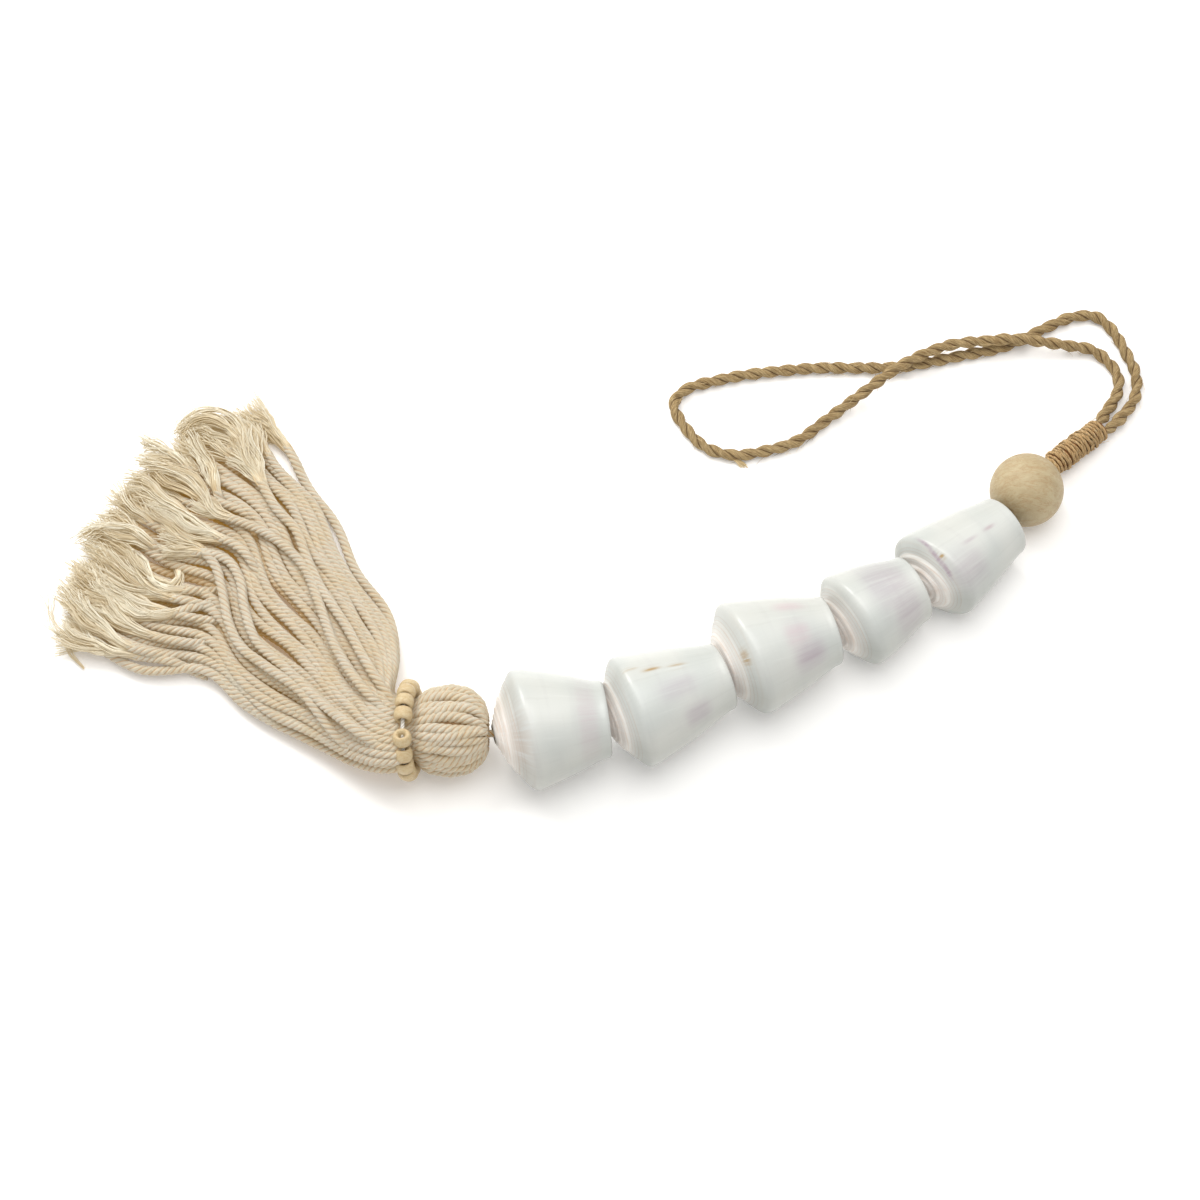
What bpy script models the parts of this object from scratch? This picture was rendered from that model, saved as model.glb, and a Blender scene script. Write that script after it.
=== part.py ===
"""Shell tassel: a drapery tassel lying on a table.

A cotton rope tassel, five cone shells and a wood bead are strung on one cord;
a whipping of twine joins the cord to a loop of twisted rope.
Sizes are in millimetres in the tables and metres in the mesh; +Z is up and
the table is z = 0.  Places are read in the layout grid (u right, v down) of
the picture and put on the table by spot().
"""
import bpy
import math
import numpy as np
from mathutils import Vector

MM = 0.001

# layout grid: one step is GRID_MM on the table at its middle
GRID_MM = 0.41
GRID_MIDDLE = 600.0
GRID_TILT = math.radians(64.0)
GRID_FAR = 1450.0

# cord the pieces are strung on
CORD_R = 1.6
BORE_R = 3.6

# tassel strands
STRAND = 3.8          # side of a strand's square section
ROOT_SIDE = 3.2       # side where the neck string squeezes it
ROOT_GROW = 34.0      # length over which it swells to full size
THIN = 2.4            # least width where neighbours crowd it
GAP = 0.5             # air left between strands
STEP = 2.0            # spacing of the laying samples
KEEP = 4              # every KEEP-th sample becomes a section of the solid
FLARE_LENGTH = 20.0   # frayed length at each end
FLARE_WIDTH = 8.0     # width of the frayed end
ROOT_LIFT = 8.3       # height of the lowest strand row at the neck
ROOT_ALONG = -6.6     # where strands start in the root block

# shell rows: shoulder x, y, radius; narrow end x, y, z, radius; lean of the shoulder
SHELL_SEGMENTS = 18
SHELLS = (
    # sx,    sy,    sr,   nx,    ny,    nz,   nr,  lean
    (-30.0, -69.0, 24.3, 2.6, -64.0, 24.0, 15.5, 5.5),
    (12.5, -60.7, 23.0, 49.2, -44.3, 22.7, 14.0, -1.0),
    (57.5, -37.6, 23.8, 92.5, -24.5, 23.5, 14.5, 5.5),
    (101.6, -19.1, 20.4, 127.0, -4.0, 20.1, 14.2, 5.0),
    (135.5, 1.3, 20.1, 165.5, 26.0, 17.0, 13.1, 9.0),
)

WORN = 0.3                 # depth of the flat where a shell or the bead touches the table

# wood bead
BEAD_R = 15.0
BEAD_AT = (176.5, 42.6, 15.0)
BEAD_HEADING = math.radians(54.5)
BEAD_SLOPE = math.radians(-11.0)
BEAD_BORE = 3.2

# whipping: end next to the bead and end next to the rope
WHIP_START = (188.4, 59.1, 7.6)
WHIP_END = (209.5, 77.5, 5.0)
WHIP_WIDE = (5.3, 4.5)     # half width at the two ends
WHIP_HIGH = (5.0, 4.2)     # half height at the two ends
WHIP_BORE = (4.3, 2.5)   # half width and half height of its bore
WRAPS = 15
WRAP_RISE = 0.35

# rope loop: u, v, height of the centreline, in order from the whipping
ROPE_R = 2.7
ROPE_FLAT = 0.76           # radius between the two plies over ROPE_R
ROPE_PITCH = 12.0
ROPE_STEP = 2.2
TAIL_R = 1.7
TAIL_SIDE = 1.95
TAIL_DEPTH = 10.0
ROPE_ROUTE = (
    (1107, 411, 3.6), (1115, 399, 2.9), (1119, 386, 2.75), (1116, 372, 2.75),
    (1107, 361, 2.75), (1092, 350, 3.4), (1070, 346, 4.8), (1042, 342, 7.3),
    (1015, 339, 8.7), (985, 341, 8.6), (950, 345, 8.4), (920, 356, 8.6),
    (897, 368, 8.7), (872, 386, 7.5), (848, 404, 4.8), (825, 421, 3.2),
    (797, 441, 2.75), (765, 451, 2.75), (735, 455, 2.75), (707, 448, 2.75),
    (685, 427, 2.75), (674, 404, 2.75), (687, 389, 2.75), (715, 381, 2.75),
    (745, 375, 2.75), (780, 371, 2.75), (820, 368, 2.75), (860, 368, 2.75),
    (900, 367, 2.75), (935, 361, 2.75), (970, 354, 2.75), (1000, 348, 2.75),
    (1025, 338, 2.75), (1050, 326, 2.75), (1073, 317, 2.75), (1096, 317, 2.75),
    (1112, 330, 2.75), (1126, 353, 2.75), (1136, 375, 2.75), (1135, 398, 2.9),
    (1126, 412, 3.6),
)

# tassel head, along its axis from the middle of the neck groove
NECK_AT = (-75.8, -67.0, 19.6)
NECK_LEAN = math.radians(6.0)
HEAD_RIDGES = 20
HEAD = (
    # along, half width, half height, centre y, centre z, ridge, lean, squareness
    (-9.8, 15.8, 13.4, -0.6, 0.8, 0.4, 0.8, 2.8),
    (-8.8, 17.2, 14.8, -0.6, 0.8, 0.5, 0.8, 2.8),
    (-5.4, 16.8, 14.2, -0.4, 0.6, 0.5, 0.9, 2.6),
    (-4.4, 12.5, 11.9, 0.0, 0.0, 0.5, 1.0, 2.2),
    (4.4, 12.5, 11.9, 0.0, 0.0, 0.5, 1.0, 2.2),
    (5.4, 15.3, 14.6, 0.0, -0.4, 0.9, 0.9, 2.2),
    (9.0, 17.6, 17.0, 0.3, -1.2, 1.2, 0.6, 2.1),
    (16.5, 19.0, 18.4, 0.8, -2.0, 1.3, 0.2, 2.1),
    (23.5, 17.6, 17.6, 0.6, -1.6, 1.2, 0.0, 2.1),
    (28.3, 13.6, 13.8, -0.4, 0.2, 1.0, 0.0, 2.1),
    (30.9, 8.6, 8.8, -2.4, 2.4, 0.6, 0.0, 2.0),
    (31.7, 3.4, 3.4, -3.2, 3.4, 0.0, 0.0, 2.0),
)
HEAD_SOCKET = (2.4, 14.0)  # radius and depth of the cord's hole in the head

# neck beads on their string
NECK_BEADS = 17
NECK_BEAD_R = 3.8
NECK_BEAD_HOLE = 1.6
NECK_BEAD_PITCH = 5.8
NECK_RING = (16.9, 15.95)   # half width and half height of the string's ring
NECK_OPEN = math.radians(109.0)   # where the string shows between two beads
STRING_R = 0.9

# leading strands of the fan, edge to edge: u, v at each ring of the skirt
RING_HEIGHTS = (20.5, 21.5, 22.0, 17.0, 14.0, 11.5, 9.5, 8.0)
FAN = (
    ((402, 700), (391, 694), (395, 656), (385, 612), (354, 560), (318, 502), (294, 453), (256, 423)),
    ((402, 708), (385, 702), (380, 661), (365, 608), (333, 556), (302, 502), (265, 457), (218, 422)),
    ((402, 717), (379, 710), (364, 672), (342, 617), (312, 564), (276, 512), (235, 468), (178, 438)),
    ((402, 727), (376, 721), (350, 688), (316, 632), (286, 580), (254, 529), (211, 492), (144, 470)),
    ((402, 737), (376, 733), (342, 705), (296, 652), (258, 600), (231, 558), (188, 530), (112, 498)),
    ((402, 747), (377, 745), (341, 724), (286, 680), (240, 632), (213, 592), (156, 562), (86, 533)),
    ((402, 757), (380, 757), (343, 744), (290, 712), (236, 672), (199, 639), (136, 618), (68, 587)),
    ((402, 767), (385, 769), (350, 761), (300, 734), (243, 706), (199, 672), (132, 665), (64, 637)),
)
# strand rows from the table up: count, places of first and last at the root
# and in the fan, reach of the tips
ROWS = (
    # n, root a, root b, fan a, fan b, reach
    (7, 0.13, 0.87, 0.071, 0.929, 0.97),
    (8, 0.06, 0.94, 0.020, 1.000, 1.00),
    (7, 0.07, 0.93, 0.071, 0.929, 0.95),
    (7, 0.08, 0.93, 0.143, 0.980, 1.00),
    (7, 0.07, 0.93, 0.071, 0.910, 0.96),
    (8, 0.13, 0.88, 0.000, 0.940, 0.98),
)
WANDER = 0.035        # how far a strand drifts from its place in the fan


def spot(u, v, z):
    """Put a layout point on the level z above the table."""
    focus = GRID_FAR / GRID_MM
    right = u - GRID_MIDDLE
    up = GRID_MIDDLE - v
    dx = right
    dy = focus * math.cos(GRID_TILT) + up * math.sin(GRID_TILT)
    dz = -focus * math.sin(GRID_TILT) + up * math.cos(GRID_TILT)
    eye_y = -GRID_FAR * math.cos(GRID_TILT)
    eye_z = GRID_FAR * math.sin(GRID_TILT)
    far = (z - eye_z) / dz
    return np.array((dx * far, eye_y + dy * far, z))


def chance(number, turn):
    """A fixed value from -1 to 1 for a numbered strand."""
    value = math.sin(number * 12.9898 + turn * 78.233) * 43758.5453
    return 2.0 * (value - math.floor(value)) - 1.0


def unit(vector):
    """The vector at length one."""
    return vector / np.linalg.norm(vector)


def curve(points, step):
    """Even samples of a smooth curve through the points."""
    pts = np.asarray(points, float)
    padded = np.vstack((2 * pts[0] - pts[1], pts, 2 * pts[-1] - pts[-2]))
    fine = []
    for k in range(len(pts) - 1):
        p0, p1, p2, p3 = padded[k:k + 4]
        t1 = math.sqrt(np.linalg.norm(p1 - p0)) or 1.0
        t2 = t1 + (math.sqrt(np.linalg.norm(p2 - p1)) or 1.0)
        t3 = t2 + (math.sqrt(np.linalg.norm(p3 - p2)) or 1.0)
        for t in np.linspace(t1, t2, 24, endpoint=False):
            a1 = p0 * (t1 - t) / t1 + p1 * t / t1
            a2 = p1 * (t2 - t) / (t2 - t1) + p2 * (t - t1) / (t2 - t1)
            a3 = p2 * (t3 - t) / (t3 - t2) + p3 * (t - t2) / (t3 - t2)
            b1 = a1 * (t2 - t) / t2 + a2 * t / t2
            b2 = a2 * (t3 - t) / (t3 - t1) + a3 * (t - t1) / (t3 - t1)
            fine.append(b1 * (t2 - t) / (t2 - t1) + b2 * (t - t1) / (t2 - t1))
    fine.append(pts[-1])
    fine = np.array(fine)
    run = np.concatenate(([0.0], np.cumsum(np.linalg.norm(np.diff(fine, axis=0), axis=1))))
    count = max(2, int(round(run[-1] / step)) + 1)
    even = np.linspace(0.0, run[-1], count)
    return np.stack([np.interp(even, run, fine[:, k]) for k in range(fine.shape[1])], axis=1)


def material(name, colour, rough):
    """A plain principled material."""
    mat = bpy.data.materials.new(name)
    mat.use_nodes = True
    shader = mat.node_tree.nodes["Principled BSDF"]
    shader.inputs["Base Color"].default_value = (*colour, 1.0)
    shader.inputs["Roughness"].default_value = rough
    return mat


def solid(name, points, faces, mat):
    """A mesh object from points in millimetres."""
    mesh = bpy.data.meshes.new(name)
    mesh.from_pydata([tuple(float(c) * MM for c in p) for p in points], [], faces)
    mesh.validate()
    mesh.update()
    obj = bpy.data.objects.new(name, mesh)
    bpy.context.scene.collection.objects.link(obj)
    mesh.materials.append(mat)
    return obj


def skin(rings, closed_ends=True, closed_run=False):
    """Faces between rings of points; rings run so that faces look outward."""
    count = len(rings[0])
    points = [p for ring in rings for p in ring]
    faces = []
    spans = len(rings) if closed_run else len(rings) - 1
    for k in range(spans):
        here = k * count
        there = ((k + 1) % len(rings)) * count
        for j in range(count):
            n = (j + 1) % count
            faces.append((here + j, here + n, there + n, there + j))
    if closed_ends and not closed_run:
        faces.append(tuple(range(count - 1, -1, -1)))
        last = (len(rings) - 1) * count
        faces.append(tuple(last + j for j in range(count)))
    return points, faces


def axis_frame(axis):
    """Two vectors square to an axis: level side and upward."""
    side = unit(np.cross((0.0, 0.0, 1.0), axis))
    rise = np.cross(axis, side)
    return side, rise


def turned(profile, at, axis, segments, lean=0.0, lean_end=1.0):
    """Rings of a closed profile (along, radius) turned about an axis, a flat downward.

    The rings lean sideways by an angle that fades out towards lean_end.
    """
    axis = unit(np.asarray(axis, float))
    side, rise = axis_frame(axis)
    rings = []
    for along, radius in profile:
        fade = max(0.0, 1.0 - max(0.0, along) / lean_end)
        slip = math.tan(math.radians(lean) * fade)
        ring = []
        for j in range(segments):
            turn = 2 * math.pi * (j + 0.5) / segments - math.pi / 2
            across = radius * math.cos(turn)
            ring.append(np.asarray(at) + axis * (along - slip * across)
                        + side * across + rise * radius * math.sin(turn))
        rings.append(ring)
    return skin(rings, closed_run=True)


def tube(name, path, radius, sides, mat, closed=False):
    """A plain round cord along a path."""
    path = np.asarray(path, float)
    rings = []
    count = len(path)
    for k in range(count):
        if closed:
            along = path[(k + 1) % count] - path[k - 1]
        else:
            along = path[min(k + 1, count - 1)] - path[max(k - 1, 0)]
        side, rise = axis_frame(unit(along))
        ring = []
        for j in range(sides):
            turn = 2 * math.pi * (j + 0.5) / sides - math.pi / 2
            ring.append(path[k] + side * radius * math.cos(turn) + rise * radius * math.sin(turn))
        rings.append(ring)
    points, faces = skin(rings, closed_run=closed)
    return solid(name, points, faces, mat)


def shell_profile(radius, length, narrow):
    """Closed outline of a cone shell: spire, shoulder, cone, dished end and bore."""
    k = radius / 24.5
    return (
        (-12.2 * k, BORE_R), (-11.0 * k, 6.2 * k), (-8.4 * k, 12.6 * k), (-4.2 * k, 19.3 * k),
        (-0.8, radius - 0.7), (0.4, radius), (2.2, radius), (0.55 * length, 0.42 * radius + 0.58 * narrow + 0.7),
        (length - 3.5, narrow + 0.3), (length, narrow - 0.6), (length, narrow - 2.2),
        (length - 8.0, narrow - 4.0), (length - 15.0, BORE_R),
    )


def rest(points, at):
    """Set a piece on the table, worn to a small flat where it touches."""
    drop = np.array((0.0, 0.0, min(p[2] for p in points) + WORN))
    points = [p - drop for p in points]
    for point in points:
        point[2] = max(point[2], 0.0)
    return points, at - drop


def make_shells(mat):
    """Five turned shells; returns their solids and the cord's way through them."""
    made = []
    way = []
    for number, (sx, sy, sr, nx, ny, nz, nr, lean) in enumerate(SHELLS, 1):
        sz = sr * math.cos(math.pi / SHELL_SEGMENTS)
        start = np.array((sx, sy, sz))
        end = np.array((nx, ny, nz))
        length = np.linalg.norm(end - start)
        axis = (end - start) / length
        points, faces = turned(shell_profile(sr, length, nr), start, axis, SHELL_SEGMENTS, lean, 0.6 * length)
        points, start = rest(points, start)
        made.append(solid("shell_%d" % number, points, faces, mat))
        way.append(start - axis * (11.0 if number > 1 else 4.0))
        way.append(start + axis * (length - 14.0))
    return made, way


def bead_profile(radius, bore, steps):
    """Closed outline of a bored ball."""
    edge = math.asin(bore / radius)
    outer = []
    for k in range(steps + 1):
        turn = math.pi - edge - (math.pi - 2 * edge) * k / steps
        outer.append((radius * math.cos(turn), radius * math.sin(turn)))
    return outer


def make_bead(mat):
    """The wood bead and the cord's way through it."""
    axis = np.array((math.cos(BEAD_HEADING) * math.cos(BEAD_SLOPE),
                     math.sin(BEAD_HEADING) * math.cos(BEAD_SLOPE), math.sin(BEAD_SLOPE)))
    points, faces = turned(bead_profile(BEAD_R, BEAD_BORE, 11), BEAD_AT, axis, 18)
    points, at = rest(points, np.array(BEAD_AT))
    return solid("wood_bead", points, faces, mat), [at - axis * 13.0, at + axis * 13.0]


def make_whipping(mat):
    """Twine wound round the rope's tails and the cord, its turns raised as ribs."""
    start = np.array(WHIP_START)
    end = np.array(WHIP_END)
    length = np.linalg.norm(end - start)
    axis = (end - start) / length
    side, rise = axis_frame(axis)
    stations = []
    for k in range(2 * WRAPS + 1):
        along = length * k / (2 * WRAPS)
        stations.append((along, WRAP_RISE if k % 2 else 0.0))
    rings = []
    for along, lift in stations:
        t = along / length
        wide = WHIP_WIDE[0] + (WHIP_WIDE[1] - WHIP_WIDE[0]) * t + lift - WRAP_RISE
        high = WHIP_HIGH[0] + (WHIP_HIGH[1] - WHIP_HIGH[0]) * t + lift - WRAP_RISE
        rings.append((along, wide, high))
    rings.append((length, WHIP_BORE[0], WHIP_BORE[1]))
    rings.append((0.0, WHIP_BORE[0], WHIP_BORE[1]))
    loops = []
    for along, wide, high in rings:
        loop = []
        for j in range(12):
            turn = 2 * math.pi * (j + 0.5) / 12 - math.pi / 2
            loop.append(start + axis * along + side * wide * math.cos(turn) + rise * high * math.sin(turn))
        loops.append(loop)
    points, faces = skin(loops, closed_run=True)
    return solid("whipping", points, faces, mat)


def rope_way():
    """Centreline of the loop, from one tail in the whipping round to the other."""
    start = np.array(WHIP_START)
    end = np.array(WHIP_END)
    axis = unit(end - start)
    side, rise = axis_frame(axis)
    left = side * TAIL_SIDE
    points = [end - axis * TAIL_DEPTH + left, end + left, end + left * 1.25 + axis * 2.0]
    points += [spot(u, v, z) for u, v, z in ROPE_ROUTE]
    points += [end - left * 1.25 + axis * 2.0, end - left, end - axis * TAIL_DEPTH - left]
    return curve(points, ROPE_STEP)


def make_rope(mat):
    """Two-ply twisted rope, the plies raised in its points."""
    path = rope_way()
    run = np.concatenate(([0.0], np.cumsum(np.linalg.norm(np.diff(path, axis=0), axis=1))))
    total = run[-1]
    rings = []
    for k, at in enumerate(path):
        along = unit(path[min(k + 1, len(path) - 1)] - path[max(k - 1, 0)])
        side, rise = axis_frame(along)
        from_end = min(run[k], total - run[k]) - TAIL_DEPTH
        grow = min(1.0, max(0.0, from_end / 9.0))
        radius = TAIL_R + (ROPE_R - TAIL_R) * grow * grow * (3 - 2 * grow)
        twist = 2 * math.pi * run[k] / ROPE_PITCH
        ring = []
        for j in range(6):
            turn = 2 * math.pi * j / 6 - twist
            reach = radius if j % 3 == 0 else radius * ROPE_FLAT
            point = at + side * reach * math.cos(turn) + rise * reach * math.sin(turn)
            point[2] = max(point[2], 0.0)
            ring.append(point)
        rings.append(ring)
    points, faces = skin(rings)
    return solid("rope_loop", points, faces, mat)


def lean_frame(lean):
    """Axis, side and rise of the head's sections at a lean."""
    across = np.array((0.0, -math.cos(GRID_TILT), math.sin(GRID_TILT)))
    tip = math.tan(lean)
    axis = unit(np.array((1.0, 0.0, 0.0)) + across * tip)
    side = unit(np.array((0.0, 1.0, 0.0)) - axis * axis[1])
    rise = np.cross(axis, side)
    return axis, side, rise


def oval(turn, wide, high, power=2.4):
    """A point on a squared oval."""
    c = math.cos(turn)
    s = math.sin(turn)
    return (wide * math.copysign(abs(c) ** (2 / power), c), high * math.copysign(abs(s) ** (2 / power), s))


def make_head(mat):
    """The folded top of the tassel with its rope ridges, neck groove and root block."""
    base = np.array(NECK_AT)
    rings = []
    count = 2 * HEAD_RIDGES
    for along, wide, high, cy, cz, ridge, lean, square in HEAD:
        axis, side, rise = lean_frame(NECK_LEAN * lean)
        centre = base + np.array((along, cy, cz))
        ring = []
        for j in range(count):
            drop = ridge if j % 2 else 0.0
            y, z = oval(2 * math.pi * (j + 0.5) / count, wide - drop, high - drop, square)
            point = centre + side * y + rise * z
            point[2] = max(point[2], 0.0)
            ring.append(point)
        rings.append(ring)
    axis, side, rise = lean_frame(0.0)
    mouth = base + np.array(HEAD[-1][:1] + (HEAD[-1][3], HEAD[-1][4]))
    for back in (0.0, HEAD_SOCKET[1]):
        ring = []
        for j in range(count):
            turn = 2 * math.pi * (j + 0.5) / count
            ring.append(mouth - axis * back + side * HEAD_SOCKET[0] * math.cos(turn)
                        + rise * HEAD_SOCKET[0] * math.sin(turn))
        rings.append(ring)
    points, faces = skin(rings)
    return solid("tassel", points, faces, mat), mouth


def fan_route(root, place, reach, number):
    """Plan route of a strand from its root to its place from 0 to 1 across the fan."""
    route = []
    last = len(RING_HEIGHTS) - 1
    for ring, height in enumerate(RING_HEIGHTS):
        drift = WANDER * chance(number, ring) * max(0.0, (ring - 3) / (last - 3.0))
        keep = (1.0, 0.8, 0.1)[ring] if ring < 3 else 0.0
        at = min(max(root * keep + place * (1.0 - keep) + drift, 0.0), 1.0) * (len(FAN) - 1)
        k = min(int(at), len(FAN) - 2)
        t = at - k
        first = spot(*FAN[k][ring], height)
        second = spot(*FAN[k + 1][ring], height)
        route.append(first + (second - first) * t)
    route = np.array(route)[:, :2]
    stretch = reach + 0.04 * chance(number, 9)
    route[-1] = route[-2] + (route[-1] - route[-2]) * (1.0 + 3.0 * (stretch - 1.0))
    return curve(route, STEP)


def spread(values, reach, pick):
    """Sliding pick (max or mean) over a reach of samples each way."""
    padded = np.pad(values, reach, mode="edge")
    return np.array([pick(padded[k:k + 2 * reach + 1]) for k in range(len(values))])


def smooth(t):
    """Ease from 0 to 1."""
    t = np.clip(t, 0.0, 1.0)
    return t * t * (3 - 2 * t)


def nearest(plan, others):
    """Distance from each sample to the nearest of the other plans."""
    best = np.full(len(plan), 1e9)
    for other in others:
        apart = np.linalg.norm(plan[:, None, :] - other[None, :, :], axis=2)
        best = np.minimum(best, apart.min(axis=1))
    return best


def lay_strands():
    """Lay the strands row by row, each resting on the table or the ones below it."""
    laid = []
    number = 0
    for count, root_a, root_b, fan_a, fan_b, reach in ROWS:
        plans = []
        for k in range(count):
            number += 1
            t = k / (count - 1)
            plans.append(fan_route(root_a + (root_b - root_a) * t, fan_a + (fan_b - fan_a) * t, reach, number))
        for k, plan in enumerate(plans):
            run = np.arange(len(plan)) * STEP
            to_end = run[-1] - run
            open_end = np.clip(1.0 - to_end / FLARE_LENGTH, 0.0, 1.0)
            side = ROOT_SIDE + (STRAND - ROOT_SIDE) * smooth(run / ROOT_GROW)
            half = 0.5 * (side + (FLARE_WIDTH - STRAND) * open_end ** 1.5)
            room = nearest(plan, plans[:k] + plans[k + 1:])
            room = np.where(run < 0.6 * run[-1], np.maximum(room - GAP - 0.1, THIN), 99.0)
            half = np.minimum(half, 0.5 * room)
            thick = side * (1.0 - 0.25 * open_end)
            need = ROOT_LIFT * (1.0 - smooth(run / 42.0))
            for other in laid:
                apart = np.linalg.norm(plan[:, None, :] - other["plan"][None, :, :], axis=2)
                close = apart < half[:, None] + other["half"][None, :] + GAP
                tops = np.where(close, (other["low"] + other["thick"])[None, :] + GAP, 0.0)
                need = np.maximum(need, tops.max(axis=1))
            low = spread(need, 6, np.max)
            low = spread(low, 3, np.mean)
            low = spread(low, 2, np.mean)
            low = np.where(low < 0.02, 0.0, low)
            laid.append({"plan": plan, "half": half, "thick": thick, "low": low})
    return laid


def root_sample(strand):
    """First sample of a strand inside the root block of the head."""
    base = np.array(NECK_AT)
    lean = math.tan(NECK_LEAN * 0.85)
    for k, (x, y) in enumerate(strand["plan"]):
        across = (y - base[1]) * -math.cos(GRID_TILT) + (strand["low"][k] + 1.6 - base[2]) * math.sin(GRID_TILT)
        if x < base[0] + ROOT_ALONG - lean * across:
            return k
    return 0


def make_strands(mat):
    """All strands as four-sided bars in one mesh, for the union with the head."""
    points = []
    faces = []
    for strand in lay_strands():
        plan = strand["plan"]
        picks = list(range(root_sample(strand), len(plan) - 1, KEEP))
        if len(plan) - 1 - picks[-1] < 2:
            picks.pop()
        picks.append(len(plan) - 1)
        rings = []
        for k in picks:
            before = plan[max(k - 2, 0)]
            after = plan[min(k + 2, len(plan) - 1)]
            ahead = unit(after - before)
            side = np.array((-ahead[1], ahead[0], 0.0))
            half = strand["half"][k]
            low = strand["low"][k]
            top = low + strand["thick"][k]
            at = np.array((plan[k][0], plan[k][1], 0.0))
            ring = []
            for across, height in ((half, low), (half, top), (-half, top), (-half, low)):
                ring.append(at + side * across + np.array((0.0, 0.0, height)))
            rings.append(ring[::-1])
        body, sides = skin(rings)
        base = len(points)
        points += body
        faces += [tuple(base + i for i in face) for face in sides]
    return solid("strands", points, faces, mat)


def fuse(target, tool):
    """Union of two solids, applied."""
    face_outward(target)
    face_outward(tool)
    mod = target.modifiers.new("fuse", "BOOLEAN")
    mod.operation = "UNION"
    mod.solver = "EXACT"
    mod.object = tool
    view = bpy.context.evaluated_depsgraph_get()
    mesh = bpy.data.meshes.new_from_object(target.evaluated_get(view))
    target.modifiers.clear()
    target.data = mesh
    bpy.data.objects.remove(tool)


def ring_point(turn):
    """Place and direction on the neck string's ring."""
    axis, side, rise = lean_frame(NECK_LEAN)
    base = np.array(NECK_AT)
    at = base + side * NECK_RING[0] * math.cos(turn) + rise * NECK_RING[1] * math.sin(turn)
    ahead = unit(-side * NECK_RING[0] * math.sin(turn) + rise * NECK_RING[1] * math.cos(turn))
    return at, ahead


def make_neck(bead_mat, string_mat):
    """Small beads threaded on a string tied round the neck."""
    fine = [ring_point(2 * math.pi * k / 720)[0] for k in range(721)]
    run = np.concatenate(([0.0], np.cumsum([np.linalg.norm(fine[k + 1] - fine[k]) for k in range(720)])))
    total = run[-1]
    open_at = np.interp(NECK_OPEN, np.linspace(0, 2 * math.pi, 721), run)
    gap = total - (NECK_BEADS - 1) * NECK_BEAD_PITCH
    r = NECK_BEAD_R
    outline = ((-2.4, NECK_BEAD_HOLE), (-2.25, 2.7), (-1.2, r), (1.2, r), (2.25, 2.7), (2.4, NECK_BEAD_HOLE))
    for k in range(NECK_BEADS):
        where = (open_at + gap / 2 + k * NECK_BEAD_PITCH) % total
        turn = np.interp(where, run, np.linspace(0, 2 * math.pi, 721))
        at, ahead = ring_point(turn)
        points, faces = turned_about(outline, at, ahead, 8)
        solid("neck_bead_%02d" % (k + 1), points, faces, bead_mat)
    rings = []
    for k in range(36):
        at, ahead = ring_point(2 * math.pi * k / 36)
        out = unit(at - np.array(NECK_AT))
        up = unit(np.cross(ahead, out))
        out = np.cross(up, ahead)
        rings.append([at + out * STRING_R * math.cos(2 * math.pi * j / 6)
                      + up * STRING_R * math.sin(2 * math.pi * j / 6) for j in range(6)])
    points, faces = skin(rings, closed_run=True)
    solid("neck_string", points, faces, string_mat)


def turned_about(outline, at, ahead, segments):
    """Rings of an outline turned about a direction of the neck ring."""
    out = unit(at - np.array(NECK_AT))
    up = unit(np.cross(ahead, out))
    out = np.cross(up, ahead)
    rings = []
    for along, radius in outline:
        rings.append([at + ahead * along
                      + out * radius * math.cos(2 * math.pi * (j + 0.5) / segments)
                      + up * radius * math.sin(2 * math.pi * (j + 0.5) / segments)
                      for j in range(segments)])
    return skin(rings, closed_run=True)


def face_outward(obj):
    """Turn a closed mesh so that its faces look outward."""
    mesh = obj.data
    volume = 0.0
    mesh.calc_loop_triangles()
    for tri in mesh.loop_triangles:
        a, b, c = (mesh.vertices[i].co for i in tri.vertices)
        volume += a.dot(b.cross(c)) / 6.0
    if volume < 0.0:
        mesh.flip_normals()


def settle():
    """Put the origin under the middle of all pieces but the rope loop."""
    low = Vector((1e9, 1e9, 1e9))
    high = Vector((-1e9, -1e9, -1e9))
    for obj in bpy.context.scene.objects:
        if obj.name == "rope_loop":
            continue
        for vertex in obj.data.vertices:
            low = Vector(map(min, low, vertex.co))
            high = Vector(map(max, high, vertex.co))
    shift = Vector((-(low.x + high.x) / 2, -(low.y + high.y) / 2, -low.z))
    for obj in bpy.context.scene.objects:
        for vertex in obj.data.vertices:
            vertex.co = vertex.co + shift
            if abs(vertex.co.z) < 2e-6:
                vertex.co.z = 0.0


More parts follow.
